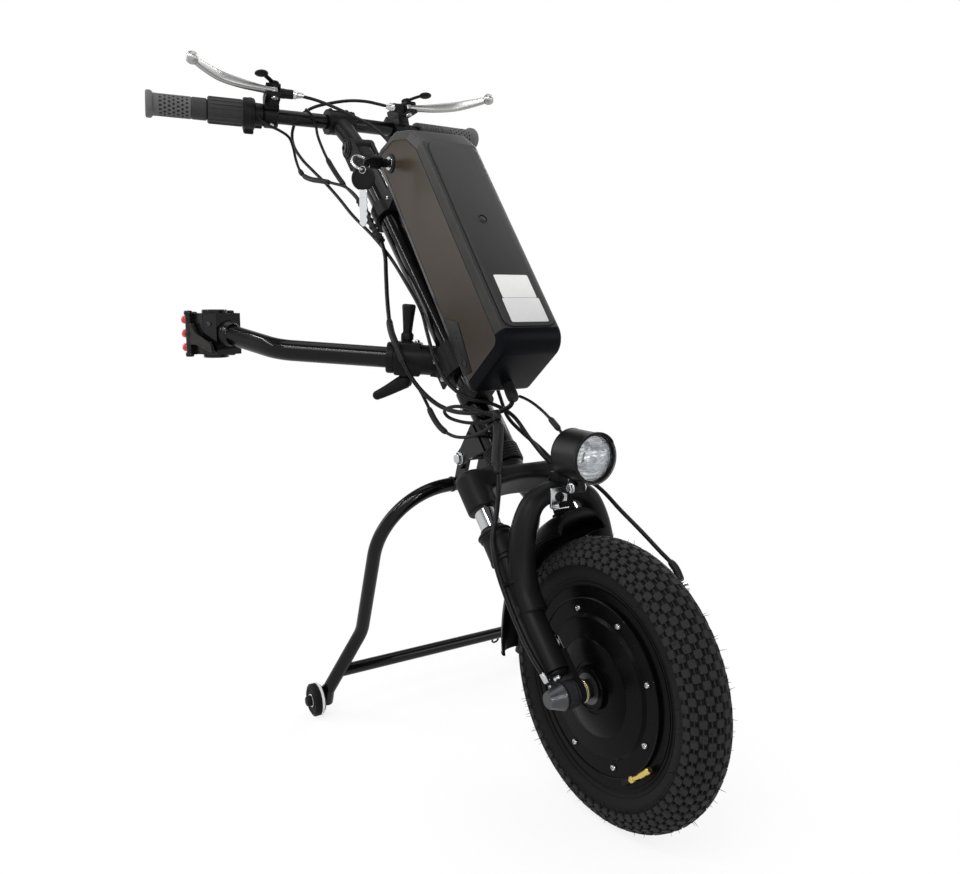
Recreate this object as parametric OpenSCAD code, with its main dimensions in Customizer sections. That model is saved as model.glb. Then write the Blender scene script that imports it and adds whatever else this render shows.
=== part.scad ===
// Clip-on power assist for a manual wheelchair: a hub-motor wheel in a suspension fork,
// a raked steering column with a slide-off battery, two clamp arms and a folding stand.
// Millimetres, +X forward, +Y to the rider's left, +Z up.

/* [Wheel] */
// Outer diameter of the tyre
tyre_d = 317; // [305:1:330]
// Width of the tyre
tyre_w = 57; // [52:1:60]
// Diameter of the bead seat on the rim
bead_d = 203; // [196:1:206]
// Width between the rim flanges
rim_w = 36; // [32:1:40]
// Height of the rim flanges
flange_h = 6; // [4:0.5:7]
// Diameter of the motor axle
axle_d = 14; // [12:0.5:16]
// Diameter of the raised step on the motor covers
cover_step_d = 150; // [130:1:158]
// Diameter of the bearing boss on the motor covers
boss_d = 48; // [42:1:56]
// Diameter of the brake disc
disc_d = 160; // [140:1:164]

/* [Steering axis] */
// Lean of the steering axis from the vertical, in degrees
rake = 43.6; // [38:0.2:48]
// Distance of the steering axis behind the axle
fork_offset = 8; // [4:0.5:12]

/* [Fork] */
// Distance between the centres of the fork legs
leg_gap = 130; // [124:1:140]
// Diameter of the stanchions
stanchion_d = 26; // [24:0.5:28]
// Diameter of the lower legs
slider_d = 31; // [30:0.5:33]
// Space between the tyre and the crown sockets
crown_gap = 70; // [66:1:80]
// Height of the crown sockets
socket_h = 50; // [44:1:56]
// Height of the crown bridge
bridge_h = 28; // [22:1:32]
// Suspension travel
travel = 20; // [12:1:24]
// Diameter of the arch at its top
arch_d = 25; // [22:0.5:28]
// Rise of the arch above the tyre, along the steering axis
arch_rise = 51; // [46:1:56]
// Reach of the arch in front of the legs
arch_reach = 60; // [54:1:64]

/* [Column] */
// Length of the column
column_len = 540; // [500:5:600]
// Outer diameter of the lower column
column_d = 31; // [29:0.5:33]
// Outer diameter of the upper sleeve
sleeve_d = 37; // [35:0.5:40]
// Length of the lower column that the sleeve leaves bare
bare_len = 178; // [160:2:200]
// Diameter of the steerer tube
steerer_d = 25.4; // [22:0.2:26]

/* [Battery] */
// Length of the battery along its back
battery_len = 400; // [360:5:420]
// Fall of the battery's top towards its front
top_fall = 68; // [50:2:80]
// Width of the battery
battery_w = 90; // [80:1:100]
// Depth of the battery
battery_depth = 107; // [96:1:115]
// Radius of the battery's edges
battery_round = 14; // [10:1:18]
// Lean of the battery away from the column, in degrees
battery_tilt = 5; // [3:0.5:6]
// Height of the battery's foot above the column's lower end
battery_up = 64; // [58:1:80]
// Distance from the column's axis to the back of the battery's foot
battery_out = 46; // [44:1:52]

/* [Arms] */
// Diameter of the arm tubes
arm_d = 28.6; // [26:0.2:30]
// Length of an arm from the bracket's centre to its bend
arm_len = 207; // [190:1:240]
// Length of an arm past its bend
arm_end_len = 80; // [70:1:100]
// Backward sweep of the arms, in degrees
arm_sweep = 33; // [28:1:38]
// Climb of the arms, in degrees
arm_climb = 4; // [2:0.5:6]
// Angle of the bend in an arm, in degrees
arm_bend = 33; // [25:1:40]
// Height of the arm bracket above the column's lower end
bracket_up = 154; // [140:1:165]

/* [Clamps] */
// Diameter of the wheelchair tube that a clamp grips
grip_bore_d = 25.4; // [22:0.2:28]
// Height of a clamp
clamp_h = 58; // [50:1:64]
// Width of a clamp
clamp_w = 44; // [40:1:50]
// Depth of one half of a clamp
clamp_half = 27; // [24:1:32]

/* [Stand] */
// Lean of the stand, in degrees
stand_lean = 20; // [16:0.5:23]
// Diameter of the stand's tube
stand_d = 18; // [16:0.5:20]
// Distance between the stand's upright legs
stand_w = 254; // [244:2:270]
// Outward kick of the feet, in degrees
kick = 22; // [16:1:26]
// Diameter of the stand's wheels
stand_wheel_d = 44; // [40:1:48]
// Width of the stand's wheels
stand_wheel_w = 14; // [12:0.5:18]

/* [Handlebar] */
// Length of the stem between its pivot and the bar
stem_len = 88; // [80:1:100]
// Climb of the stem, in degrees
stem_climb = 35; // [25:1:45]
// Diameter of the handlebar
bar_d = 22.2; // [22:0.1:23]
// Length of each swept end of the bar
bar_side = 254; // [240:2:270]
// Backward sweep of the bar's ends, in degrees
bar_sweep = 13; // [8:0.5:16]
// Climb of the bar's ends, in degrees
bar_climb = 2; // [0:0.5:4]
// Diameter of the grips
grip_d = 33; // [31:0.5:36]
// Length of the left grip
grip_len = 138; // [130:1:145]
// Length of the twist sleeve
throttle_len = 52; // [46:1:56]

/* [Levers] */
// Reach of a lever's pivot from the bar's axis
lever_reach = 42; // [38:1:48]
// Length of a brake lever from its pivot to its ball
lever_len = 141; // [130:1:155]
// Angle of a lever away from the bar, in degrees
lever_flare = 31; // [26:1:34]
// Angle of the levers above the horizontal, in degrees
lever_tilt = 14; // [5:1:25]
// Diameter of the lever's ball
ball_d = 18; // [14:0.5:19]

/* [Headlight] */
// Diameter of the headlight
light_d = 56; // [50:1:60]
// Length of the headlight
light_len = 50; // [44:1:54]

/* [Hidden] */
$fn = 48;

// Clearances: running fits, flat faces that move past each other, and the overrun of cuts
run_fit = 0.05;
gap = 0.3;
cut = 1;
bend_lap = 0.4;
bend_slim = 0.02;

// Wheel: radii and half widths derived from the tyre
tyre_r = tyre_d / 2;
bead_r = bead_d / 2;
section_r = tyre_w / 2;
section_c = tyre_r - section_r;
tyre_wall = 4.5;
tread_groove_shares = [-0.42, -0.14, 0.14, 0.42];
groove_w = 3;
groove_depth = 3;
tube_wall = 1.5;
flange_t = 3;
rim_t = 20;
hub_half = rim_w / 2 + flange_t;
stator_gap = 1.2;
magnet_t = 4;
cover_t = 3;
cover_lap = 5;
cover_step_h = 3;
cover_dish = 3;
boss_h = 5;
bearing_r = 17;
bearing_h = 10;
cover_r = bead_r - cover_lap;
boss_top = hub_half + cover_t + cover_step_h + cover_dish + boss_h;
axle_r = axle_d / 2;

// Axle stack, outward from the hub
spacer_wall = 3;
spacer_r = axle_r + spacer_wall;
washer_lip = 5.6;
washer_r = axle_r + washer_lip;
washer_t = 2.4;
leg_y = leg_gap / 2;
slider_r = slider_d / 2;
dropout_t = 7;
dropout_lap = 4.5;
dropout_out = leg_y - slider_r + dropout_lap;
dropout_in = dropout_out - dropout_t;
nut_t = 9;
nut_lip = 4.5;
nut_r = axle_r + nut_lip;
plain_washer_t = 1.5;
cap_lip = 7.5;
cap_r = axle_r + cap_lip;
cap_skirt = 17;
cap_cone = 16;
cap_tip_r = 8.5;

// Levels along the steering axis, measured from the axle
crown_s = tyre_r + crown_gap;
crown_top = crown_s + socket_h;
race_h = 12;
cup_h = 12;
column_s = crown_top + race_h + cup_h + gap;
column_end = column_s + column_len;
sleeve_s = column_s + bare_len;
stem_s = column_end + cup_h + gap;
stem_rise = 34;
pivot_s = stem_s + stem_rise;
seal_room = 10;
seal_s = crown_s - travel - seal_room;
seal_seat = 8;
slider_top = seal_s - seal_seat;
arch_s = tyre_r + arch_rise;

// Radii of round pieces on the steering axis
steerer_r = steerer_d / 2;
column_r = column_d / 2;
sleeve_r = sleeve_d / 2;
stanchion_r = stanchion_d / 2;
stanchion_wall = 2.5;

// A point given by its level on the steering axis, its distance in front of the legs and its side
function at_axis(s, v = 0, y = 0) =
  [v * cos(rake) - s * sin(rake), y, tyre_r + v * sin(rake) + s * cos(rake)];

// Handlebar: pivot of the stem, centre of the bar and its rearmost point
stem_pivot = at_axis(pivot_s, -fork_offset);
bar_centre = stem_pivot + stem_len * [-cos(stem_climb), 0, sin(stem_climb)];
bar_straight = 40;
bar_r = bar_d / 2;
grip_r = grip_d / 2;
grip_flare = 3.5;
grip_end_r = grip_r + grip_flare;
grip_end_t = 9;
bar_back = sin(bar_sweep) * cos(bar_climb);
rear_x = bar_centre[0] - bar_side * bar_back - grip_end_r * sqrt(1 - bar_back * bar_back);

// The origin lies on the ground under the middle of the whole length
origin_x = -(tyre_r + rear_x) / 2;

module place() { translate([origin_x, 0, 0]) children(); }
module at_wheel() { place() translate([0, 0, tyre_r]) children(); }
module spin() { at_wheel() rotate([90, 0, 0]) children(); }
module on_axis() { at_wheel() rotate([0, -rake, 0]) children(); }
module on_column() { on_axis() translate([-fork_offset, 0, 0]) children(); }
module both_sides() {
  children();
  mirror([0, 1, 0]) children();
}
// Left is built as drawn, right is its mirror image
module on_side(right) {
  if (right) mirror([0, 1, 0]) children();
  else children();
}
// Turns +Z to point to the left, swept back and climbing; -Y is then up and +X forward
module outward(sweep, climb) { rotate([0, 0, sweep]) rotate([climb - 90, 0, 0]) children(); }
module along_y(r, y0, y1) { translate([0, y0, 0]) rotate([-90, 0, 0]) cylinder(r = r, h = y1 - y0); }
module slab(x, y, z) {
  translate([x[0], y[0], z[0]]) cube([x[1] - x[0], y[1] - y[0], z[1] - z[0]]);
}
module ring(ro, ri, z0, z1) {
  translate([0, 0, z0]) difference() {
    cylinder(r = ro, h = z1 - z0);
    translate([0, 0, -cut]) cylinder(r = ri, h = z1 - z0 + 2 * cut);
  }
}
// A tube bend that starts at the origin along +Z and turns towards +X
module elbow(bend_r, r, angle) {
  translate([bend_r, 0, 0]) rotate([90, 0, 180])
    rotate_extrude(angle = angle) translate([bend_r, 0]) circle(r);
}
// A bent tube in one plane: each step is a straight length, a bend angle and a bend radius.
// The straights lap a hair into the bends, and each bend draws the tube a hair thinner.
module bent_tube(r, steps, i = 0) {
  length = steps[i][0];
  angle = steps[i][1];
  bend_r = steps[i][2];
  turn = angle < 0 ? 180 : 0;
  if (length > 0) translate([0, 0, -bend_lap]) cylinder(r = r, h = length + 2 * bend_lap);
  if (bend_r > 0) translate([0, 0, length]) rotate([0, 0, turn]) {
    elbow(bend_r, r - bend_slim, abs(angle));
    translate([bend_r * (1 - cos(angle)), 0, bend_r * sin(abs(angle))])
      rotate([0, abs(angle), 0]) rotate([0, 0, -turn]) bent_tube(r, steps, i + 1);
  }
}

// WHEEL
module tyre_section() {
  translate([section_c, 0]) circle(section_r);
  translate([bead_r + gap, -rim_w / 2 + gap]) square([section_r, rim_w - 2 * gap]);
}
module tyre() {
  color("#222222") spin() rotate_extrude($fn = 96) difference() {
    tyre_section();
    translate([section_c, 0]) circle(section_r - tyre_wall);
    translate([bead_r - cut, -rim_w / 2 + tyre_wall])
      square([section_c - bead_r + cut, rim_w - 2 * tyre_wall]);
    for (share = tread_groove_shares)
      translate([tyre_r - groove_depth - section_r * share * share / 2, share * tyre_w - groove_w / 2])
        square([section_r, groove_w]);
  }
}
module inner_tube() {
  tube_r = section_r - tyre_wall - gap;
  color("#303030") spin() rotate_extrude($fn = 96) translate([section_c, 0]) difference() {
    circle(tube_r);
    circle(tube_r - tube_wall);
  }
}
module hub_rim() {
  inner = bead_r - rim_t;
  color("#1c1c1e") spin() difference() {
    rotate_extrude($fn = 96) {
      translate([inner, -hub_half]) square([rim_t, 2 * hub_half]);
      for (side = [-1, 1])
        translate([inner, side > 0 ? rim_w / 2 : -hub_half]) square([rim_t + flange_h, flange_t]);
    }
    valve_hole();
  }
}
valve_r = 4;
valve_angle = 75;
module valve_hole() {
  rotate([0, 0, -valve_angle]) rotate([0, 90, 0])
    translate([0, 0, bead_r - rim_t - cut]) cylinder(r = valve_r + gap, h = rim_t + 2 * cut);
}
module tyre_valve() {
  color("#b89b45") spin() rotate([0, 0, -valve_angle]) rotate([0, 90, 0])
    translate([0, 0, bead_r - rim_t + valve_r]) cylinder(r = valve_r, h = rim_t);
}
module cover_profile(inner_r) {
  step_r = cover_step_d / 2;
  boss_r = boss_d / 2;
  z0 = hub_half;
  z1 = z0 + cover_t;
  z2 = z1 + cover_step_h;
  z3 = z2 + cover_dish;
  polygon([
    [inner_r, boss_top - bearing_h - cover_t], [boss_r, boss_top - bearing_h - cover_t],
    [step_r, z0], [cover_r, z0], [cover_r, z1], [step_r + cover_step_h, z1], [step_r, z2],
    [boss_r + cover_dish, z3], [boss_r, z3], [boss_r, boss_top], [bearing_r, boss_top],
    [bearing_r, boss_top - bearing_h], [inner_r, boss_top - bearing_h]
  ]);
}
module motor_cover() {
  rotate_extrude($fn = 96) cover_profile(spacer_r + gap);
}
module motor_cover_right() { color("#141416") spin() motor_cover(); }
module motor_cover_left() { color("#141416") spin() mirror([0, 0, 1]) motor_cover(); }
module hub_bearings() {
  color("#a9adb2") spin() for (side = [0, 1]) mirror([0, 0, side])
    ring(bearing_r, axle_r + run_fit, boss_top - bearing_h, boss_top);
}
disc_t = 2;
disc_y = boss_top + 4;
disc_ring_w = 16;
disc_spokes = 6;
disc_spoke_w = 9;
module brake_disc() {
  disc_r = disc_d / 2;
  carrier_r = boss_d / 2;
  color("#b4b7ba") spin() mirror([0, 0, 1]) {
    ring(carrier_r, spacer_r + gap, boss_top, disc_y + disc_t);
    ring(disc_r, disc_r - disc_ring_w, disc_y, disc_y + disc_t);
    for (i = [0 : disc_spokes - 1]) rotate([0, 0, i * 360 / disc_spokes])
      slab([carrier_r - disc_t, disc_r - disc_ring_w + disc_t], [-disc_spoke_w / 2, disc_spoke_w / 2],
           [disc_y, disc_y + disc_t]);
  }
}
module axle_side() {
  inner_end = dropout_in - 2 * washer_t - gap;
  ring(spacer_r, axle_r, boss_top + gap, inner_end);
  for (i = [0, 1])
    ring(washer_r, axle_r, inner_end + i * (washer_t + gap), inner_end + washer_t + i * (washer_t + gap));
  ring(washer_r, axle_r, dropout_out, dropout_out + plain_washer_t);
  difference() {
    translate([0, 0, dropout_out + plain_washer_t]) cylinder(r = nut_r, h = nut_t, $fn = 6);
    translate([0, 0, dropout_out]) cylinder(r = axle_r, h = 2 * nut_t);
  }
  cap_base = dropout_out + plain_washer_t;
  cap_end = cap_base + cap_skirt + cap_cone;
  rotate_extrude() polygon([
    [nut_r + gap, cap_base], [cap_r, cap_base], [cap_r, cap_base + cap_skirt], [cap_tip_r, cap_end],
    [0, cap_end], [0, cap_base + cap_skirt], [nut_r + gap, cap_base + cap_skirt]
  ]);
}
module axle() {
  half = dropout_out + plain_washer_t + cap_skirt - gap;
  color("#3a3a3d") spin() {
    translate([0, 0, -half]) cylinder(r = axle_r, h = 2 * half);
    axle_side();
    mirror([0, 0, 1]) axle_side();
  }
}
stator_half = 15;
stator_hub_r = 30;
module motor_stator() {
  outer = bead_r - rim_t - stator_gap;
  color("#8c4a26") spin() {
    ring(outer, axle_r, -stator_half + magnet_t, stator_half - magnet_t);
    ring(outer - magnet_t, stator_hub_r, -stator_half, -stator_half + magnet_t);
    ring(outer - magnet_t, stator_hub_r, stator_half - magnet_t, stator_half);
  }
}

// FORK LOWERS
leg_foot = 26;
leg_floor = 14;
dropout_r = 13;
dropout_w = 22;
dropout_up = 20;
seal_lip = 3.5;
seal_r = slider_r + seal_lip;
seal_skirt = 32;
seal_t = 1.8;
seal_rim = 6;
seal_flare = 4;
seal_top = 3;
module leg(s0, s1, r) { translate([0, leg_y, s0]) cylinder(r = r, h = s1 - s0); }
module fork_sliders() {
  color("#2a2b2d") on_axis() both_sides() {
    difference() {
      union() {
        leg(leg_foot, slider_top, slider_r);
        along_y(dropout_r, dropout_in, dropout_out);
        slab([-dropout_w / 2, dropout_w / 2], [dropout_in, dropout_out], [0, leg_foot + dropout_up]);
      }
      leg(leg_foot + leg_floor, slider_top + cut, stanchion_r + run_fit);
      along_y(axle_r + run_fit, dropout_in - cut, dropout_out + cut);
    }
    translate([0, leg_y, 0]) rotate_extrude() polygon([
      [slider_r, seal_s - seal_skirt], [slider_r + seal_t, seal_s - seal_skirt],
      [slider_r + seal_t, seal_s - seal_rim - seal_flare], [seal_r, seal_s - seal_rim], [seal_r, seal_s],
      [stanchion_r + seal_t, seal_s + seal_top], [stanchion_r + gap, seal_s + seal_top],
      [stanchion_r + gap, slider_top], [slider_r, slider_top]
    ]);
  }
}
// The arch: a tapering round bar swept through a spline, from one leg over the tyre to the other
arch_leg_shares = [[0.96, 0.44, 0.03], [0.95, 0.56, 0.06], [0.9, 0.7, 0.24], [0.81, 0.845, 0.6],
                   [0.62, 0.945, 0.88], [0.32, 0.99, 0.98], [0, 1, 1]];
arch_thick_shares = [1.42, 1.38, 1.3, 1.2, 1.08, 1, 1];
arch_sides = 20;
arch_steps = 4;
arch_mirror = [for (i = [0 : 5]) arch_leg_shares[5 - i]];
arch_points = concat(
  [for (p = arch_leg_shares) [p[2] * arch_reach, p[0] * leg_y, p[1] * arch_s]],
  [for (p = arch_mirror) [p[2] * arch_reach, -p[0] * leg_y, p[1] * arch_s]]);
arch_radii = concat(arch_thick_shares, [for (i = [0 : 5]) arch_thick_shares[5 - i]]) * arch_d / 2;

function unit(v) = v / norm(v);
function clamp_index(p, i) = p[max(0, min(len(p) - 1, i))];
// Catmull-Rom interpolation of points or of plain values
function smooth_at(p, i, t) =
  let (a = clamp_index(p, i - 1), b = clamp_index(p, i), c = clamp_index(p, i + 1),
       d = clamp_index(p, i + 2))
  b + (c - a) * t / 2 + (2 * a - 5 * b + 4 * c - d) * t * t / 2
    + (3 * b - a - 3 * c + d) * t * t * t / 2;
function smooth(p, steps) =
  concat([for (i = [0 : len(p) - 2], k = [0 : steps - 1]) smooth_at(p, i, k / steps)], [p[len(p) - 1]]);
function heading(p, i) = unit(clamp_index(p, i + 1) - clamp_index(p, i - 1));
function square_to(a, t) = unit(a - t * (a * t));
// A side vector carried along the points without twist
function carried(p, start) =
  [for (i = 0, a = square_to(start, heading(p, 0)); i < len(p);
        i = i + 1, a = square_to(a, heading(p, i))) a];
// One closed round body along a list of points, with a radius at each
module swept(points, radii, sides, start) {
  n = len(points);
  side = carried(points, start);
  rings = [for (i = [0 : n - 1], k = [0 : sides - 1])
    let (a = side[i], b = cross(heading(points, i), a), w = 360 * k / sides)
    points[i] + radii[i] * (a * cos(w) + b * sin(w))];
  walls = [for (i = [0 : n - 2], k = [0 : sides - 1])
    let (j = (k + 1) % sides, a = i * sides + k, b = i * sides + j)
    each [[a, a + sides, b], [b, a + sides, b + sides]]];
  first = [for (k = [1 : sides - 2]) [0, k, k + 1]];
  last = [for (k = [1 : sides - 2]) [(n - 1) * sides, (n - 1) * sides + k + 1, (n - 1) * sides + k]];
  polyhedron(rings, concat(walls, first, last));
}
module fork_arch() {
  color("#2f3032") on_axis() difference() {
    swept(smooth(arch_points, arch_steps), smooth(arch_radii, arch_steps), arch_sides, [1, 0, 0]);
    both_sides() {
      leg(0, slider_top, slider_r);
      leg(seal_s - seal_skirt - gap, crown_s, seal_r + gap);
    }
  }
}
guard_rise = 33;
guard_drop = 27;
guard_half = 33;
guard_t = 2.5;
guard_front = 24;
guard_rear = 54;
guard_lug = 18;
module mudguard() {
  round_r = (guard_half * guard_half + guard_drop * guard_drop) / (2 * guard_drop);
  top_r = tyre_r + guard_rise;
  arch_angle = atan2(arch_reach, arch_s);
  arch_far = norm([arch_reach, arch_s]);
  color("#18191a") on_axis() {
    rotate([0, guard_front - 90, 0]) rotate([90, 0, 0])
      rotate_extrude(angle = guard_front + guard_rear, $fn = 96) intersection() {
        translate([top_r - round_r, 0]) difference() {
          circle(round_r);
          circle(round_r - guard_t);
        }
        translate([top_r - guard_drop, -guard_half]) square([guard_drop, 2 * guard_half]);
      }
    rotate([0, arch_angle, 0]) difference() {
      slab([-guard_lug / 2, guard_lug / 2], [-guard_lug / 2, guard_lug / 2],
           [top_r - guard_t / 2, arch_far]);
      translate([0, 0, arch_far]) along_y(arch_d / 2 + gap, -guard_lug, guard_lug);
    }
  }
}

// HEADLIGHT
light_r = light_d / 2;
light_wall = 2.5;
light_shoulder = 8;
light_floor = 10;
light_back_share = 0.35;
light_tail_share = 0.8;
light_pin_r = 3;
ear_r = 8;
ear_t = 2.5;
tongue_half = 4;
tongue_up = 12;
bolt_proud = 2.5;
light_forward = 32;
bracket_rise = 9;
light_pivot = at_axis(arch_s, arch_reach) + [light_forward, 0, bracket_rise];
light_axis_up = tongue_up + light_r - light_wall;
light_back = -light_len * light_back_share;
ear_y = tongue_half + gap;
module at_light() { place() translate(light_pivot) children(); }
module headlight_bracket() {
  saddle_r = arch_d / 2;
  outer = ear_y + ear_t;
  color("#b9bcc0") at_light() {
    difference() {
      union() {
        for (side = [0, 1]) mirror([0, side, 0]) {
          along_y(ear_r, ear_y, outer);
          slab([-light_forward, 0], [ear_y, outer], [-ear_r, 0]);
        }
        slab([-light_forward - ear_r, -saddle_r], [-outer, outer], [-ear_r, -ear_r + ear_t]);
        slab([-light_forward - ear_r, -light_forward + ear_r], [-outer, outer], [-ear_r, saddle_r]);
      }
      translate([-light_forward, 0, -bracket_rise]) along_y(saddle_r + gap, -light_r, light_r);
    }
    along_y(light_pin_r, -outer - bolt_proud, outer + bolt_proud);
  }
}
module light_body() { translate([light_back, 0, light_axis_up]) rotate([0, 90, 0]) children(); }
module headlight_shell() {
  inner_r = light_r - light_wall;
  color("#161617") at_light() difference() {
    union() {
      light_body() rotate_extrude() polygon([
        [0, 0], [light_r * light_tail_share, 0], [light_r, light_shoulder], [light_r, light_len],
        [0, light_len]
      ]);
      along_y(ear_r - gap, -tongue_half, tongue_half);
      slab([-ear_r + gap, ear_r - gap], [-tongue_half, tongue_half], [0, tongue_up + light_wall]);
    }
    along_y(light_pin_r + run_fit, -light_r, light_r);
    light_body() rotate_extrude() polygon([
      [0, light_shoulder], [inner_r * light_tail_share, light_floor], [inner_r, light_len / 2],
      [inner_r, light_len + cut], [0, light_len + cut]
    ]);
  }
}
lens_t = 3;
lens_dome = 3;
lens_setback = 4;
lens_rim_share = 0.6;
module headlight_lens() {
  lens_r = light_r - light_wall;
  front = light_len - lens_setback;
  color("#dfe6ea") at_light() light_body() rotate_extrude() polygon([
    [0, front - lens_t], [lens_r, front - lens_t], [lens_r, front],
    [lens_r * lens_rim_share, front + lens_dome], [0, front + lens_dome]
  ]);
}

// BRAKE
caliper_in = 4;
caliper_reach = disc_d / 2 - caliper_in;
caliper_half = 11;
caliper_len = 44;
caliper_w = 30;
caliper_up = -17;
pad_gap = 2;
arm_pin_r = 4;
caliper_mid = disc_y + disc_t / 2;
caliper_out = caliper_mid + caliper_half;
caliper_s = caliper_up + caliper_len / 2;
mount_t = 8;
mount_low = leg_foot + dropout_up + gap;
mount_h = 32;
module brake_caliper() {
  back = caliper_reach - caliper_w / 2;
  top = caliper_up + caliper_len;
  plate_x = dropout_w / 2 + gap;
  color("#26272a") on_axis() difference() {
    union() {
      slab([back, back + caliper_w], [caliper_mid - caliper_half, caliper_out], [caliper_up, top]);
      translate([0, caliper_out, 0]) rotate([90, 0, 0]) linear_extrude(mount_t) polygon([
        [0, mount_low], [0, mount_low + mount_h], [back, top], [back, caliper_up], [plate_x, mount_low]
      ]);
    }
    slab([0, disc_d / 2 + pad_gap], [disc_y - pad_gap, disc_y + disc_t + pad_gap], [-disc_d, disc_d]);
    translate([0, leg_y, 0]) cylinder(r = slider_r, h = crown_s);
    translate([caliper_reach, 0, caliper_s])
      along_y(arm_pin_r + run_fit, caliper_out - mount_t, caliper_out + cut);
  }
}
caliper_arm_len = 52;
caliper_arm_lean = 35;
caliper_arm_t = 4;
cable_eye_r = 6;
module caliper_arm() {
  inner = caliper_out + gap;
  outer = inner + caliper_arm_t;
  color("#3c3e41") on_axis() translate([caliper_reach, 0, caliper_s]) {
    along_y(arm_pin_r, caliper_out - mount_t + gap, outer);
    rotate([0, caliper_arm_lean, 0]) {
      along_y(2 * arm_pin_r, inner, outer);
      slab([-arm_pin_r, arm_pin_r], [inner, outer], [0, caliper_arm_len]);
      translate([0, 0, caliper_arm_len]) along_y(cable_eye_r, inner, outer + caliper_arm_t);
    }
  }
}

// FORK UPPER
socket_wall = 6;
socket_r = stanchion_r + socket_wall;
bridge_wall = 6;
bridge_r = steerer_r + bridge_wall;
crown_wall = 4;
crown_rise = 7;
crown_span = leg_y - socket_r;
crown_arch_r = (crown_span * crown_span + crown_rise * crown_rise) / (2 * crown_rise);
steerer_foot = crown_top - bridge_h + crown_rise + crown_wall;
race_wall = 7;
race_r = steerer_r + race_wall;
foot_room = 36;
stanchion_foot = leg_foot + leg_floor + travel + foot_room;
module fork_crown() {
  bridge_s = crown_top - bridge_h;
  color("#2c2d2f") on_axis() difference() {
    union() {
      both_sides() leg(crown_s, crown_top, socket_r);
      difference() {
        translate([0, 0, bridge_s]) linear_extrude(bridge_h) polygon([
          [-fork_offset - bridge_r, bridge_r], [-socket_r, leg_y], [socket_r, leg_y],
          [bridge_r, bridge_r], [bridge_r, -bridge_r], [socket_r, -leg_y], [-socket_r, -leg_y],
          [-fork_offset - bridge_r, -bridge_r]
        ]);
        translate([0, 0, bridge_s + crown_rise - crown_arch_r]) rotate([0, 90, 0])
          cylinder(r = crown_arch_r, h = 4 * leg_y, center = true);
      }
      translate([-fork_offset, 0, crown_top]) cylinder(r = race_r, h = race_h);
    }
    both_sides() leg(crown_s - cut, crown_top - crown_wall, stanchion_r + run_fit);
    translate([-fork_offset, 0, steerer_foot]) cylinder(r = steerer_r + run_fit, h = bridge_h + race_h);
  }
}
module stanchions() {
  color("#d5d8db") on_axis() both_sides() translate([0, leg_y, 0])
    ring(stanchion_r, stanchion_r - stanchion_wall, stanchion_foot, crown_top - crown_wall - gap);
}
spring_play = 1;
spring_r = stanchion_r - stanchion_wall - spring_play;
spring_wire = 3;
module fork_springs() {
  color("#9a9da1") on_axis() both_sides() translate([0, leg_y, 0])
    ring(spring_r, spring_r - spring_wire, leg_foot + leg_floor, crown_top - crown_wall - gap);
}
steerer_wall = 2.6;
steerer_grip = 15;
steerer_end = stem_s + steerer_grip;
module steerer_tube() {
  color("#a4a7aa") on_column()
    ring(steerer_r, steerer_r - steerer_wall, steerer_foot + gap, steerer_end);
}

// COLUMN
column_play = 0.9;
module column_tube() {
  bore_r = steerer_r + column_play;
  color("#0f0f10") on_column() difference() {
    union() {
      translate([0, 0, column_s]) cylinder(r = column_r, h = column_len);
      translate([0, 0, sleeve_s]) cylinder(r = sleeve_r, h = column_end - sleeve_s);
    }
    translate([0, 0, column_s - cut]) cylinder(r = bore_r, h = column_len + 2 * cut);
  }
}
cup_wall = 3.5;
cup_r = sleeve_r + cup_wall;
cup_skirt = 12;
ball_ring_r = sleeve_r;
module headset() {
  color("#1b1b1c") on_column() {
    ring(cup_r, column_r, column_s, column_s + cup_skirt);
    ring(cup_r, ball_ring_r, column_s - cup_h, column_s);
    ring(ball_ring_r, steerer_r + run_fit, column_s - cup_h, column_s);
    ring(cup_r, sleeve_r, column_end - cup_skirt, column_end);
    ring(cup_r, ball_ring_r, column_end, column_end + cup_h);
    ring(ball_ring_r, steerer_r + run_fit, column_end, column_end + cup_h);
  }
}

// BATTERY AND DOCK
module on_battery() {
  on_column() translate([battery_out, 0, column_s + battery_up]) rotate([0, battery_tilt, 0]) children();
}
rail_t = 12;
rail_w = 40;
rail_from = 20;
rail_short = 8;
collar_t = 6;
collar_h = 24;
low_collar_up = 84;
low_collar_s = column_s + low_collar_up;
high_collar_down = 112;
high_collar_s = column_end - high_collar_down;
collar_block = 26;
collar_bolt_r = 4;
module dock_collar(s, tube_r) {
  reach = battery_out + battery_len * sin(battery_tilt);
  back = tube_r + collar_t + collar_bolt_r;
  translate([0, 0, s]) difference() {
    union() {
      cylinder(r = tube_r + collar_t, h = collar_h);
      slab([0, reach], [-collar_block / 2, collar_block / 2], [0, collar_h]);
      slab([-back, 0], [-2 * collar_bolt_r, 2 * collar_bolt_r], [collar_bolt_r, collar_h - collar_bolt_r]);
    }
    translate([0, 0, -cut]) cylinder(r = tube_r, h = collar_h + 2 * cut);
  }
}
module battery_room() {
  on_battery() slab([-rail_t, battery_depth], [-battery_w, battery_w], [-battery_len, 2 * battery_len]);
}
module battery_dock() {
  color("#131314") {
    difference() {
      on_column() {
        dock_collar(low_collar_s, column_r);
        dock_collar(high_collar_s, sleeve_r);
      }
      battery_room();
    }
    on_battery() slab([-rail_t, -gap], [-rail_w / 2, rail_w / 2], [rail_from, battery_len - rail_short]);
  }
}
cells_wall = 7;
split_x = battery_depth - battery_round;
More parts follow.
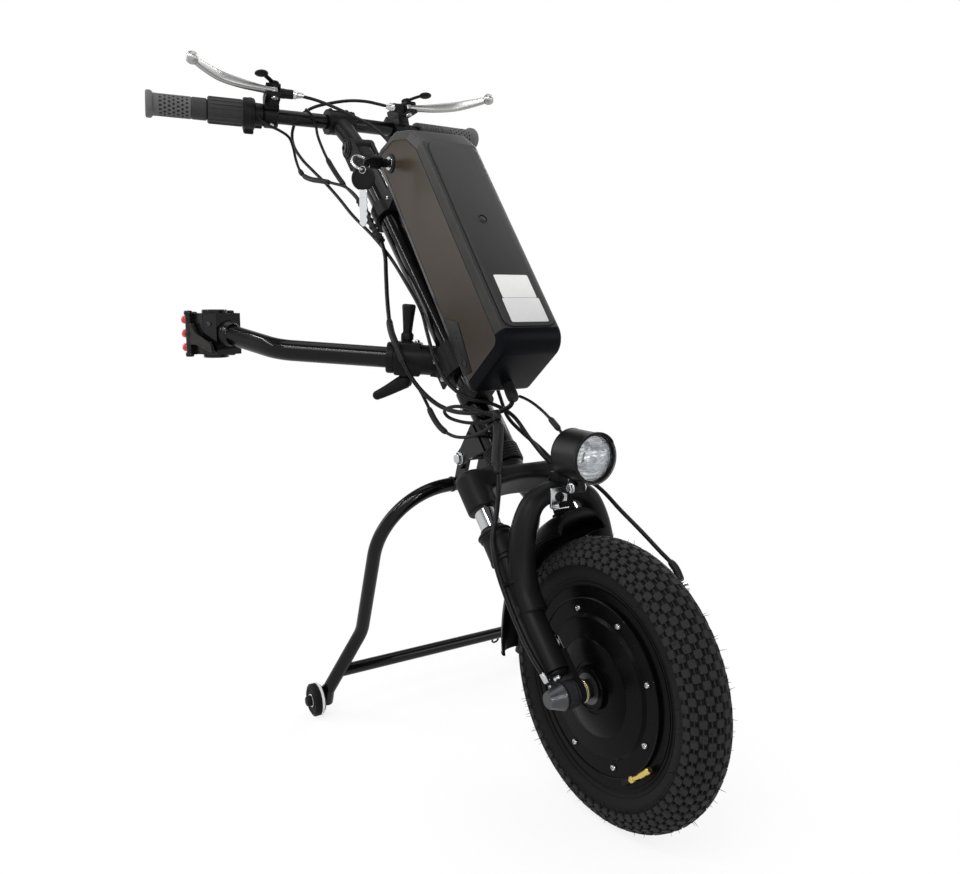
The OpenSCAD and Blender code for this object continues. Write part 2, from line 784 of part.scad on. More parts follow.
// The top falls in three flats from the back to the front: shares of the depth and of the fall
top_shares = [[0, 0], [0.52, 0.2], [0.86, 0.59], [1, 1]];
module battery_form() {
  r = battery_round;
  side = battery_w / 2 - r;
  depth = battery_depth - 2 * r;
  hull() for (y = [-side, side]) {
    for (x = [0, depth]) translate([r + x, y, r]) sphere(r, $fn = 32);
    for (share = top_shares)
      translate([r + share[0] * depth, y, battery_len - r - share[1] * top_fall]) sphere(r, $fn = 32);
  }
}
module cells_room(extra) {
  slab([cells_wall - extra, battery_depth - cells_wall + extra],
       [cells_wall - battery_w / 2 - extra, battery_w / 2 - cells_wall + extra],
       [battery_round + cells_wall - extra, battery_len - top_fall - battery_round - cells_wall + extra]);
}
lock_r = 9;
lock_x = 32;
lock_down = 44;
lock_depth = 6.4;
lock_proud = 3;
module at_lock() {
  on_battery() translate([lock_x, -battery_w / 2, battery_len - lock_down]) rotate([90, 0, 0]) children();
}
module battery_case() {
  color("#3b3833") difference() {
    on_battery() difference() {
      battery_form();
      cells_room(gap);
      slab([split_x, battery_depth + cut], [-battery_w, battery_w], [-cut, battery_len + cut]);
    }
    at_lock() translate([0, 0, -lock_depth]) cylinder(r = lock_r, h = lock_depth + cut);
  }
}
module battery_cover() {
  color("#353639") on_battery() difference() {
    battery_form();
    cells_room(gap);
    slab([-cut, split_x + gap], [-battery_w, battery_w], [-cut, battery_len + cut]);
  }
}
module battery_cells() { color("#3f6f9a") on_battery() cells_room(0); }
barrel_bore_r = 4.8;
lock_floor = 1;
module key_lock() {
  color("#c3c6c9") at_lock() difference() {
    translate([0, 0, -lock_depth]) cylinder(r = lock_r, h = lock_depth + lock_proud);
    translate([0, 0, lock_floor - lock_depth]) cylinder(r = barrel_bore_r, h = lock_depth + lock_proud);
  }
}
key_head_r = 14;
key_head_t = 5;
key_neck = 8;
key_hole_r = 2.8;
key_hole_in = 4.5;
key_head_c = lock_proud + key_neck + key_head_r;
key_hole_c = key_head_c + key_head_r - key_hole_in;
module ignition_key() {
  foot = lock_floor + gap - lock_depth;
  color("#1a1a1b") at_lock() difference() {
    union() {
      translate([0, 0, foot]) cylinder(r = barrel_bore_r - run_fit, h = key_head_c - key_head_r / 2 - foot);
      translate([0, 0, key_head_c]) along_y(key_head_r, -key_head_t / 2, key_head_t / 2);
    }
    translate([0, 0, key_hole_c]) along_y(key_hole_r, -key_head_t, key_head_t);
  }
}
// The key ring threads the key's hole and leans down a little; the spare key hangs from its low point
key_ring_r = 12.5;
key_ring_wire = 1.1;
key_ring_lean = 20;
spare_head_r = 16;
spare_t = 4.5;
spare_hole_r = 4.2;
spare_hole_in = 5.5;
spare_blade_w = 8;
spare_blade_t = 2.6;
spare_blade = 46;
spare_turn = 45;
module spare_key() {
  ring_low = battery_tilt - rake;
  color("#8f9296") at_lock() translate([0, 0, key_hole_c]) rotate([key_ring_lean, 0, 0])
    translate([0, 0, key_ring_r]) {
      rotate([0, 90, 0]) rotate_extrude() translate([key_ring_r, 0]) circle(key_ring_wire, $fn = 24);
      rotate([-key_ring_lean, 0, 0]) translate([0, -key_ring_r, 0])
        rotate([-90, 0, 0]) rotate([0, -ring_low, 0]) rotate([0, 0, -spare_turn]) spare_blank();
    }
}
module spare_blank() {
  drop = spare_head_r - spare_hole_in;
  difference() {
    translate([-spare_t / 2, 0, -drop]) rotate([0, 90, 0]) cylinder(r = spare_head_r, h = spare_t);
    translate([-spare_t, 0, 0]) rotate([0, 90, 0]) cylinder(r = spare_hole_r, h = 2 * spare_t);
  }
  slab([-spare_blade_t / 2, spare_blade_t / 2], [-spare_blade_w / 2, spare_blade_w / 2],
       [-drop - spare_head_r - spare_blade, -drop - spare_head_r / 2]);
}

// STEM AND HANDLEBAR
ear_half_in = 13.3;
ear_half_out = 20;
stem_ear_r = 16;
stem_pin_r = 5;
stem_wall = 6.5;
stem_base_r = steerer_r + stem_wall;
stem_pin_proud = 2;
module stem_base() {
  color("#17181a") on_column() {
    difference() {
      union() {
        translate([0, 0, stem_s]) cylinder(r = stem_base_r, h = pivot_s - stem_s - stem_ear_r - gap);
        translate([0, 0, pivot_s]) for (side = [0, 1]) mirror([0, side, 0]) {
          along_y(stem_ear_r, ear_half_in, ear_half_out);
          slab([-stem_ear_r, stem_ear_r], [ear_half_in, ear_half_out], [stem_s - pivot_s, 0]);
        }
      }
      translate([0, 0, stem_s - cut]) cylinder(r = steerer_r + run_fit, h = steerer_end - stem_s + cut);
    }
    translate([0, 0, pivot_s])
      along_y(stem_pin_r, -ear_half_out - stem_pin_proud, ear_half_out + stem_pin_proud);
  }
}
bar_clamp_wall = 8;
bar_clamp_r = bar_r + bar_clamp_wall;
bar_clamp_w = 44;
module at_bar() { place() translate(bar_centre) children(); }
module stem_arm() {
  color("#17181a") place() difference() {
    union() {
      translate(stem_pivot) {
        along_y(stem_ear_r - gap, gap - ear_half_in, ear_half_in - gap);
        rotate([0, stem_climb - 90, 0]) cylinder(r = ear_half_in - gap, h = stem_len);
      }
      translate(bar_centre) along_y(bar_clamp_r, -bar_clamp_w / 2, bar_clamp_w / 2);
    }
    translate(stem_pivot) along_y(stem_pin_r + run_fit, -ear_half_out, ear_half_out);
    translate(bar_centre) along_y(bar_r, -bar_clamp_w, bar_clamp_w);
  }
}
module on_bar() { at_bar() translate([0, bar_straight, 0]) outward(bar_sweep, bar_climb) children(); }
module handlebar_tube() {
  color("#121213") {
    at_bar() along_y(bar_r, -bar_straight, bar_straight);
    both_sides() {
      at_bar() translate([0, bar_straight, 0]) sphere(bar_r + bend_slim);
      on_bar() cylinder(r = bar_r, h = bar_side - grip_end_t / 2);
    }
  }
}
grip_taper = 2;
module grip(from) {
  plug = bar_side - grip_end_t / 2;
  flange = bar_side - grip_end_t;
  rotate_extrude() polygon([
    [bar_r, from], [grip_r, from], [grip_r, flange - grip_taper], [grip_end_r, flange],
    [grip_end_r, bar_side], [0, bar_side], [0, plug], [bar_r, plug]
  ]);
}
grip_from = bar_side - grip_len;
throttle_lead = 3;
throttle_from = grip_from - throttle_lead;
fixed_grip_from = throttle_from + throttle_len + gap;
module grips() {
  color("#3a3b3d") {
    on_side(false) on_bar() grip(grip_from);
    on_side(true) on_bar() grip(fixed_grip_from);
  }
}
throttle_ribs = 18;
rib_r = 1.2;
throttle_swell = 2.5;
collar_swell = 4;
throttle_r = grip_r + throttle_swell;
module throttle_sleeve() {
  outer = throttle_r;
  color("#2a2b2c") on_side(true) on_bar() {
    ring(outer, bar_r + run_fit, throttle_from, throttle_from + throttle_len);
    difference() {
      for (i = [0 : throttle_ribs - 1]) rotate([0, 0, i * 360 / throttle_ribs])
        translate([outer, 0, throttle_from + rib_r])
          cylinder(r = rib_r, h = throttle_len - 2 * rib_r, $fn = 8);
      translate([0, 0, throttle_from]) cylinder(r = outer - rib_r / 2, h = throttle_len);
    }
  }
}

// BRAKE LEVERS: in the lever's plane +X leads away from the bar, +Z along it and -Y up
perch_z = 60;
perch_w = 22;
perch_wall = 5;
perch_r = bar_r + perch_wall;
perch_half = 9;
perch_lift = 20;
lever_half = 4;
lever_pin_r = 3;
lever_boss_r = 8;
pin_proud = 1;
pivot_in = 9;
pivot_z = perch_z + pivot_in;
housing_r = 7;
housing_len = 15;
barrel_r = 4.5;
barrel_len = 24;
barrel_in = 4;
collar_len = 14;
module by_lever() { on_bar() rotate([0, 0, -lever_tilt]) children(); }
module on_lever() { by_lever() translate([lever_reach, -perch_lift, pivot_z]) children(); }
module lever_perch() {
  front = lever_boss_r;
  difference() {
    union() {
      translate([-lever_reach, perch_lift, -pivot_in]) cylinder(r = perch_r, h = perch_w);
      slab([-lever_reach, -lever_boss_r - perch_half], [-perch_half, perch_lift],
           [-pivot_in, perch_w - pivot_in]);
      slab([-lever_reach, front], [-perch_half, perch_half], [-pivot_in, perch_w - pivot_in]);
      translate([-barrel_in, 0, -pivot_in - housing_len]) cylinder(r = housing_r, h = housing_len + cut);
      translate([-barrel_in, 0, -pivot_in - barrel_len]) cylinder(r = barrel_r, h = barrel_len + cut);
    }
    translate([-lever_reach, perch_lift, -pivot_in - cut]) cylinder(r = bar_r, h = perch_w + 2 * cut);
    slab([-lever_boss_r - perch_half, front + cut], [-lever_half - gap, lever_half + gap],
         [-lever_boss_r, perch_w]);
  }
  along_y(lever_pin_r, -perch_half - pin_proud, perch_half + pin_proud);
}
module lever_perches() {
  color("#1a1b1c") {
    both_sides() on_lever() lever_perch();
    on_side(true) on_bar()
      ring(throttle_r + collar_swell, bar_r, throttle_from - collar_len - gap, throttle_from - gap);
  }
}
lever_z_shares = [0, 0.18, 0.42, 0.68, 0.9, 1];
lever_x_shares = [0, 0.07, 0.2, 0.42, 0.78, 1];
lever_w_shares = [0.9, 0.8, 0.66, 0.58, 0.5, 0.5];
lever_swell_shares = [0, 0, 0.8, 1, 0.5, 0];
blade_swell = 2;
module brake_lever(right) {
  reach = lever_len * sin(lever_flare);
  run = lever_len * cos(lever_flare);
  mid = [for (i = [0 : 5]) [reach * lever_x_shares[i], run * lever_z_shares[i]]];
  wide = [for (i = [0 : 5]) [lever_boss_r * lever_w_shares[i], 0]];
  outline = concat([for (i = [0 : 5]) mid[i] - wide[i]], [for (i = [0 : 5]) mid[5 - i] + wide[5 - i]]);
  tall = [for (s = lever_swell_shares) lever_half + blade_swell * s];
  up = [for (z = lever_z_shares) run * z + (z == 0 ? -cut : z == 1 ? cut : 0)];
  side = concat([for (i = [0 : 5]) [-tall[i], up[i]]], [for (i = [0 : 5]) [tall[5 - i], up[5 - i]]]);
  color("#d0d3d6") on_side(right) on_lever() difference() {
    union() {
      along_y(lever_boss_r - gap, -lever_half, lever_half);
      intersection() {
        translate([0, lever_boss_r, 0]) rotate([90, 0, 0]) linear_extrude(2 * lever_boss_r)
          polygon(outline);
        translate([-lever_boss_r, 0, 0]) rotate([90, 0, 90]) linear_extrude(reach + 2 * lever_boss_r)
          polygon(side);
      }
      translate([reach, 0, run]) sphere(ball_d / 2);
    }
    along_y(lever_pin_r + run_fit, -perch_half, perch_half);
  }
}
module brake_lever_right() { brake_lever(true); }
module brake_lever_left() { brake_lever(false); }
latch_r = 4;
latch_len = 32;
latch_t = 4;
latch_lean = 50;
paddle_r = 8;
paddle_t = 6;
module park_latch(right) {
  top = -perch_half - pin_proud - gap;
  color("#151516") on_side(right) on_lever() {
    along_y(paddle_r, top - latch_t, top);
    rotate([0, latch_lean, 0]) {
      slab([-latch_r, latch_r], [top - latch_t + gap, top - gap], [0, latch_len]);
      translate([0, 0, latch_len]) along_y(paddle_r, top - paddle_t, top);
    }
  }
}
module park_latch_right() { park_latch(true); }
module park_latch_left() { park_latch(false); }

// ARMS AND CLAMPS
arm_r = arm_d / 2;
arm_setback = 35;
arm_root = at_axis(column_s + bracket_up, -fork_offset) - [arm_setback, 0, 0];
arm_from = 24;
arm_socket_wall = 6;
arm_socket_r = arm_r + arm_socket_wall;
arm_socket_end = 80;
arm_bend_r = 70;
arm_twist = 14;
bracket_collar_h = 44;
bracket_collar_t = 8;
stud_z = 54;
stud_r = 7;
stud_out = 5;
module on_arm() { place() translate(arm_root) outward(arm_sweep, arm_climb) children(); }
module arm_bracket() {
  collar_s = column_s + bracket_up - bracket_collar_h / 2;
  r = arm_socket_r;
  color("#1b1c1d") difference() {
    union() {
      on_column() translate([0, 0, collar_s])
        cylinder(r = sleeve_r + bracket_collar_t, h = bracket_collar_h);
      place() translate(arm_root) slab([-stud_r, arm_setback], [-r, r], [-r, r]);
      both_sides() on_arm() {
        cylinder(r = r, h = arm_socket_end);
        translate([0, 0, stud_z]) along_y(stud_r, -r - stud_out, r + stud_out);
      }
    }
    on_column() {
      translate([0, 0, column_s]) cylinder(r = column_r, h = bare_len);
      translate([0, 0, sleeve_s]) cylinder(r = sleeve_r, h = column_len);
    }
    both_sides() on_arm() translate([0, 0, arm_from - bend_lap - gap])
      cylinder(r = arm_r + run_fit, h = arm_socket_end);
  }
}
arm_out = [-sin(arm_sweep) * cos(arm_climb), cos(arm_sweep) * cos(arm_climb), sin(arm_climb)];
arm_fore = [cos(arm_sweep), sin(arm_sweep), 0];
arm_up = cross(arm_fore, arm_out);
arm_lean = -arm_fore * cos(arm_twist) + arm_up * sin(arm_twist);
arm_tail = arm_out * cos(arm_bend) + arm_lean * sin(arm_bend);
arm_tip = arm_root + arm_out * (arm_len + arm_bend_r * sin(arm_bend))
  + arm_lean * arm_bend_r * (1 - cos(arm_bend)) + arm_tail * arm_end_len;
clamp_yaw = atan2(arm_tail[1], arm_tail[0]);
clamp_at = arm_tip + clamp_half * [cos(clamp_yaw), sin(clamp_yaw), 0];
// In the clamp's frame +X leads on from the arm, +Y faces outward and +Z is up
module on_clamp() { place() translate(clamp_at) rotate([0, 0, clamp_yaw]) mirror([0, 1, 0]) children(); }
grip_bore_r = grip_bore_d / 2;
hinge_r = 6;
hinge_pin_r = 2.5;
hinge_out = 6.5;
knuckle_half = 10;
clamp_top = clamp_h / 2;
hinge_y = -clamp_w / 2 - hinge_out;
module clamp_block() {
  difference() {
    union() {
      slab([-clamp_half - cut, -gap], [-clamp_w / 2, clamp_w / 2], [-clamp_top, clamp_top]);
      for (z = [knuckle_half, -clamp_top]) translate([0, hinge_y, z]) {
        cylinder(r = hinge_r, h = clamp_top - knuckle_half);
        slab([-hinge_r * 2, -gap], [0, hinge_out], [0, clamp_top - knuckle_half]);
      }
    }
    translate([0, 0, -clamp_h]) cylinder(r = grip_bore_r, h = 2 * clamp_h);
  }
  translate([0, hinge_y, -clamp_top]) cylinder(r = hinge_pin_r, h = clamp_h);
}
module arm(right) {
  color("#0e0e0f") on_side(right) {
    on_arm() rotate([0, 0, 180 + arm_twist]) translate([0, 0, arm_from])
      bent_tube(arm_r, [[arm_len - arm_from, arm_bend, arm_bend_r], [arm_end_len + arm_r / 2, 0, 0]]);
    on_clamp() clamp_block();
  }
}
module arm_right() { arm(true); }
module arm_left() { arm(false); }
latch_in = 3;
latch_x_out = clamp_half - latch_in;
latch_pin_r = 2;
latch_knuckle_r = 4.5;
latch_y = clamp_w / 2 + latch_knuckle_r + gap;
latch_half = 15;
latch_trim = 2;
latch_end = clamp_top - latch_trim;
flange_y = [4, 12];
flange_reach = 15;
jaw_bolt_r = 3.5;
jaw_bolt_len = 4;
cap_red_r = 5;
cap_red_len = 8;
jaw_bolt_z_share = 0.34;
module clamp_jaw(right) {
  knuckle_h = 2 * knuckle_half - 2 * gap;
  lug_h = latch_end - latch_half - gap;
  color("#1a1a1b") on_side(right) on_clamp() {
    difference() {
      union() {
        slab([gap, clamp_half], [-clamp_w / 2, clamp_w / 2], [-clamp_top, clamp_top]);
        translate([0, hinge_y, gap - knuckle_half]) {
          cylinder(r = hinge_r, h = knuckle_h);
          slab([gap, 2 * hinge_r], [0, hinge_out], [0, knuckle_h]);
        }
        for (z = [latch_half + gap, -latch_end]) translate([latch_x_out, latch_y, z]) {
          cylinder(r = latch_knuckle_r, h = lug_h);
          slab([-latch_knuckle_r, latch_in], [clamp_w / 2 - latch_y - cut, 0], [0, lug_h]);
        }
        slab([clamp_half - cut, clamp_half + flange_reach], flange_y, [-clamp_top, clamp_top]);
        jaw_bolts() translate([0, 0, -cut]) cylinder(r = jaw_bolt_r, h = jaw_bolt_len + cut);
      }
      translate([0, 0, -clamp_h]) cylinder(r = grip_bore_r, h = 2 * clamp_h);
      translate([0, hinge_y, -clamp_h]) cylinder(r = hinge_pin_r + run_fit, h = 2 * clamp_h);
    }
    translate([latch_x_out, latch_y, -latch_end]) cylinder(r = latch_pin_r, h = 2 * latch_end);
    jaw_bolts() translate([0, 0, jaw_bolt_len]) cylinder(r = cap_red_r, h = cap_red_len);
  }
}
module jaw_bolts() {
  for (i = [-1, 0, 1])
    translate([clamp_half + flange_reach - cap_red_r, flange_y[1], i * clamp_h * jaw_bolt_z_share])
      rotate([-90, 0, 0]) children();
}
module clamp_jaw_right() { clamp_jaw(true); }
module clamp_jaw_left() { clamp_jaw(false); }
plate_t = 5;
plate_reach = 16;
tail_reach = 46;
tail_low = 26;
tail_h = 12;
module clamp_lever(right) {
  color("#121213") on_side(right) on_clamp() translate([latch_x_out, latch_y, 0]) difference() {
    union() {
      translate([0, 0, -latch_half]) cylinder(r = latch_knuckle_r, h = 2 * latch_half);
      translate([0, plate_t - latch_knuckle_r / 2, 0]) rotate([90, 0, 0]) linear_extrude(plate_t) polygon([
        [0, latch_half], [-plate_reach / 2, latch_half], [-plate_reach, 0],
        [-tail_reach, tail_h - tail_low], [-tail_reach - plate_t, -tail_low],
        [-plate_reach, -latch_half], [0, -latch_half]
      ]);
    }
    translate([0, 0, -clamp_h]) cylinder(r = latch_pin_r + run_fit, h = 2 * clamp_h);
  }
}
module clamp_lever_right() { clamp_lever(true); }
module clamp_lever_left() { clamp_lever(false); }
handle_hub_r = 8;
handle_hub_h = 9;
handle_len = 40;
handle_base_r = 5.5;
handle_top_r = 8;
module lock_handle(right) {
  foot = arm_socket_r + stud_out + gap;
  color("#101011") on_side(right) on_arm() translate([0, -foot, stud_z]) rotate([90, 0, 0]) {
    cylinder(r = handle_hub_r, h = handle_hub_h);
    translate([0, 0, handle_hub_h - cut]) cylinder(r1 = handle_base_r, r2 = handle_top_r, h = handle_len);
  }
}
module lock_handle_right() { lock_handle(true); }
module lock_handle_left() { lock_handle(false); }
wing_len = 44;
wing_t = 9;
wing_drop = 22;
wing_hub_r = 10;
wing_hub_h = 12;
wing_tip_share = 0.7;
module wing_knob(right) {
  top = arm_socket_r + stud_out + gap;
  color("#1a1b1b") on_side(right) on_arm() translate([0, top, stud_z]) rotate([-90, 0, 0]) {
    cylinder(r = wing_hub_r, h = wing_hub_h);
    rotate([90, 0, 90]) translate([0, 0, -wing_t / 2]) linear_extrude(wing_t) polygon([
      [0, 0], [0, wing_hub_h], [-wing_len * wing_tip_share, wing_drop + wing_hub_h],
      [-wing_len, wing_drop], [-wing_hub_r, 0]
    ]);
  }
}
module wing_knob_right() { wing_knob(true); }
module wing_knob_left() { wing_knob(false); }

// STAND
stand_up = 39;
stand_back = 54;
stand_pin_r = 4;
stand_r = stand_d / 2;
plate_y = 19;
stand_plate_t = 4;
lug_t = 5.6;
lug_r = 10;
stand_pivot = at_axis(column_s + stand_up, -fork_offset - stand_back);
stand_collar_h = 44;
stand_collar_t = 5.5;
module on_stand() { place() translate(stand_pivot) rotate([0, stand_lean, 0]) children(); }
module stand_bracket() {
  collar_s = column_s + cup_skirt + gap;
  low = collar_s - column_s - stand_up;
  high = low + stand_collar_h;
  color("#151516") on_column() {
    difference() {
      union() {
        translate([0, 0, collar_s]) cylinder(r = column_r + stand_collar_t, h = stand_collar_h);
        translate([0, 0, column_s + stand_up]) both_sides()
          translate([0, plate_y + stand_plate_t, 0]) rotate([90, 0, 0])
          linear_extrude(stand_plate_t) polygon([
            [0, high], [-stand_back + lug_r, lug_r], [-stand_back - lug_r, lug_r],
            [-stand_back - lug_r, -lug_r], [-stand_back + lug_r, -lug_r], [0, low]
          ]);
      }
      translate([0, 0, column_s]) cylinder(r = column_r, h = bare_len);
    }
    translate([-stand_back, 0, column_s + stand_up])
      along_y(stand_pin_r, -plate_y - stand_plate_t - stand_pin_r, plate_y + stand_plate_t + stand_pin_r);
  }
}
stand_drop = (stand_pivot[2] - stand_wheel_d / 2) / cos(stand_lean);
tube_drop = 38;
flat_half = 26;
sag = 4;
sag_r = 60;
shoulder_r = 95;
kick_r = 50;
kick_up = 116;
foot_up = 12;
shoulder_y = stand_w / 2 - flat_half - sag_r * sin(sag) - shoulder_r * (1 - sin(sag));
slope_len = shoulder_y / cos(sag);
shoulder_z = tube_drop + sag_r * (1 - cos(sag)) + slope_len * sin(sag) + shoulder_r * cos(sag);
upright_len = stand_drop - shoulder_z - kick_up;
kick_len = (kick_up - kick_r * sin(kick) - foot_up) / cos(kick);
foot_y = stand_w / 2 + kick_r * (1 - cos(kick)) + kick_len * sin(kick);
crossbar_up = 42;
crossbar_r = 8.2;
crossbar_half = foot_y - (crossbar_up - foot_up) * tan(kick);
stand_wheel_y = foot_y + stand_r + gap;
stand_axle_r = 4;
hub_out = stand_r + stand_wheel_w + 2 * gap;
axle_head_r = 6.4;
module stand_frame() {
  half_path = [
    [0, sag, sag_r], [slope_len, 90 - sag, shoulder_r], [upright_len, -kick, kick_r], [kick_len, 0, 0]
  ];
  lug_y = [plate_y - gap - lug_t, plate_y - gap];
  color("#0f0f10") on_stand() {
    both_sides() {
      translate([0, flat_half, -tube_drop]) rotate([-90, 0, 0]) rotate([0, 0, 90])
        bent_tube(stand_r, half_path);
      translate([0, foot_y, -stand_drop]) {
        translate([0, 0, -2 * stand_axle_r])
          cylinder(r = stand_r, h = foot_up + stand_r / 2 + 2 * stand_axle_r);
        along_y(stand_axle_r, 0, hub_out + stand_axle_r);
        along_y(axle_head_r, hub_out, hub_out + stand_axle_r);
      }
      difference() {
        union() {
          along_y(lug_r, lug_y[0], lug_y[1]);
          slab([-lug_r, lug_r], lug_y, [-tube_drop, 0]);
        }
        along_y(stand_pin_r + run_fit, 0, 2 * plate_y);
      }
    }
    translate([0, 0, -tube_drop]) along_y(stand_r, -flat_half - bend_lap, flat_half + bend_lap);
    translate([0, 0, crossbar_up - stand_drop]) along_y(crossbar_r, -crossbar_half, crossbar_half);
  }
}
wheel_edge = 3;
module stand_wheel(right) {
  r = stand_wheel_d / 2;
  bore_r = stand_axle_r + run_fit;
  far = stand_wheel_w;
  color("#202022") on_side(right) on_stand() translate([0, stand_wheel_y, -stand_drop]) rotate([-90, 0, 0])
    rotate_extrude() polygon([
      [bore_r, 0], [r - wheel_edge, 0], [r, wheel_edge], [r, far - wheel_edge], [r - wheel_edge, far],
      [bore_r, far]
    ]);
}
module stand_wheel_right() { stand_wheel(true); }
module stand_wheel_left() { stand_wheel(false); }

// CABLES: each one a round cord along points chosen by hand
brake_cable_r = 2.5;
lead_r = 2.2;
loom_r = 3;
cord_sides = 8;
left_brake_route = [
  [-667.5, 80.5, 877], [-662, 56, 878], [-664, 34, 880], [-678, 12, 881], [-698, -12, 878],
  [-718, -34, 872], [-733, -52, 858], [-737, -62, 836], [-728, -64, 812], [-704, -60, 788],
  [-672, -54, 766], [-636, -48, 743], [-598, -44, 718], [-560, -39, 690], [-512, -30, 658],
  [-464, -27, 626], [-418, -28, 592], [-374, -28, 554], [-344, -35, 524], [-316, -40, 492],
  [-288, -37, 462], [-264, -22, 444], [-240, -2, 438], [-214, 14, 424], [-188, 23, 396],
  [-162, 30, 374], [-140, 34, 370]
];
right_brake_route = [
  [-667.5, -80.5, 877], [-660, -54, 872], [-646, -30, 862], [-624, -4, 846], [-600, 18, 828],
  [-572, 32, 800], [-545, 37, 765], [-515, 38, 722], [-480, 36, 676], [-440, 35, 628],
  [-400, 30, 582], [-364, 29, 540], [-332, 38, 504], [-300, 40, 468], [-274, 35, 440],
  [-246, 28, 418], [-214, 28, 402], [-182, 32, 387], [-152, 35, 372], [-114, 36, 367],
  [-76, 41, 353], [-46, 45, 334], [-18, 50, 316], [6, 56, 298], [26, 60, 284], [38, 58, 272]
];
splitter_route = [[-152, 35, 372], [-124, 35.5, 368.5]];
splitter_r = 7;
boot_route = [[22, 59, 287], [38, 58.5, 273]];
boot_r = 4;
throttle_route = [
  [-699.5, -137, 848], [-695, -128, 840], [-692, -116, 832], [-691, -100, 826], [-695, -84, 818],
  [-702, -75, 804], [-706, -70, 788], [-700, -67, 772], [-684, -66, 760], [-660, -63, 752],
  [-632, -58, 747], [-604, -50, 741], [-576, -43, 733], [-554, -38, 720], [-537, -35, 704]
];
throttle_plug_route = [[-698, -67, 771], [-684, -66, 760], [-660, -63, 752], [-638, -59, 748]];
throttle_plug_r = 4;
switch_route = [
  [-668, -66, 858], [-672, -54, 850], [-678, -46, 838], [-676, -44, 822], [-662, -43, 802],
  [-644, -42, 782], [-618, -40, 758], [-590, -39, 738], [-560, -37, 720], [-537, -35, 704]
];
switch_plug_route = [[-650, -42, 789], [-632, -41, 771], [-606, -40, 749]];
bundle_route = [[-546, -35, 712], [-530, -34, 697], [-508, -34, 674], [-490, -32, 657], [-482, -31, 649]];
bundle_shares = [0.55, 1, 0.95, 1, 0.6];
bundle_r = 6;
loom_route = [
  [-484, -31, 651], [-468, -33, 628], [-452, -40, 602], [-434, -48, 572], [-416, -55, 546],
  [-394, -63, 526], [-374, -67, 510], [-356, -65, 486], [-343, -58, 463], [-328, -49, 445],
  [-306, -41, 432], [-280, -34, 426], [-254, -28, 426], [-230, -20, 428], [-210, -10, 431],
  [-196, -2, 440], [-195, 0, 451]
];
loom_plug_route = [[-408, -58, 539], [-394, -63, 526], [-374, -67, 510], [-360, -66, 492]];
loom_plug_r = 4.6;
loop_route = [
  [-343, -58, 463], [-337, -50, 448], [-331, -44, 432], [-318, -40, 412], [-300, -38, 400],
  [-276, -35, 394], [-250, -31, 396], [-226, -27, 404], [-206, -25, 414], [-193, -24, 424]
];
loop_plug_route = [[-325, -42, 422], [-311, -39, 406], [-294, -37.5, 398]];
slack_route = [
  [-194, -24, 426], [-214, -33, 419], [-238, -42, 417], [-260, -51, 421], [-258, -59, 431],
  [-236, -56, 438], [-212, -42, 436], [-195, -25, 427]
];
battery_plug_route = [[-191, 0, 446], [-206.2, 0, 464.8]];
battery_plug_r = 7;
joint_route = [[-198, -23, 434], [-191, -24.5, 424.5]];
joint_r = 5;
motor_plug_route = [[-189.5, -25, 422.5], [-184, -28, 405], [-172, -38, 383], [-158, -46, 366]];
motor_plug_shares = [0.6, 1, 1, 0.5];
motor_plug_r = 6.5;
motor_route = [
  [28, -45, 258], [30, -56, 236], [26, -70, 208], [18, -81, 186], [14, -86, 166], [8, -87, 146],
  [4, -87, 120], [2, -87, 95], [2, -87, 70], [4, -87, 48], [6, -85.5, 30], [2, -81, 18]
];
ferrule_route = [[3, -82, 20], [1, -78.8, 13.1]];
ferrule_r = 3.4;
light_lead_route = [
  [-183, 2, 452], [-172, 3, 450], [-156, 3, 446], [-138, 2, 440], [-120, 1, 432], [-102, 0, 422],
  [-88, 0, 412.5]
];
light_plug_route = [[-126, 1, 435], [-104, 0, 423]];
light_lead_r = 1.8;
light_plug_r = 3.6;
route_steps = 2;
cord_start = [0.4, 0.2, 0.9];
module cord(route, r) {
  points = smooth(route, route_steps);
  swept(points, [for (p = points) r], cord_sides, cord_start);
}
module boot(route, r, shares = [1, 1, 1, 1]) {
  swept(route, [for (i = [0 : len(route) - 1]) r * shares[i]], cord_sides, cord_start);
}
module brake_cables() {
  color("#141415") place() {
    cord(left_brake_route, brake_cable_r);
    cord(right_brake_route, brake_cable_r);
    boot(splitter_route, splitter_r);
    boot(boot_route, boot_r);
  }
}
module control_loom() {
  color("#131314") place() {
    cord(throttle_route, lead_r);
    boot(throttle_plug_route, throttle_plug_r);
    cord(switch_route, lead_r);
    boot(switch_plug_route, throttle_plug_r);
    boot(bundle_route, bundle_r, bundle_shares);
    cord(loom_route, loom_r);
    boot(loom_plug_route, loom_plug_r);
    cord(loop_route, lead_r);
    boot(loop_plug_route, throttle_plug_r);
    cord(slack_route, lead_r);
    boot(joint_route, joint_r);
    boot(battery_plug_route, battery_plug_r);
  }
}
module motor_cable() {
  color("#161617") {
    place() boot(motor_plug_route, motor_plug_r, motor_plug_shares);
    on_axis() {
      cord(motor_route, loom_r);
      boot(ferrule_route, ferrule_r);
    }
  }
}
module headlight_lead() {
  color("#141415") place() {
    cord(light_lead_route, light_lead_r);
    boot(light_plug_route, light_plug_r);
  }
}

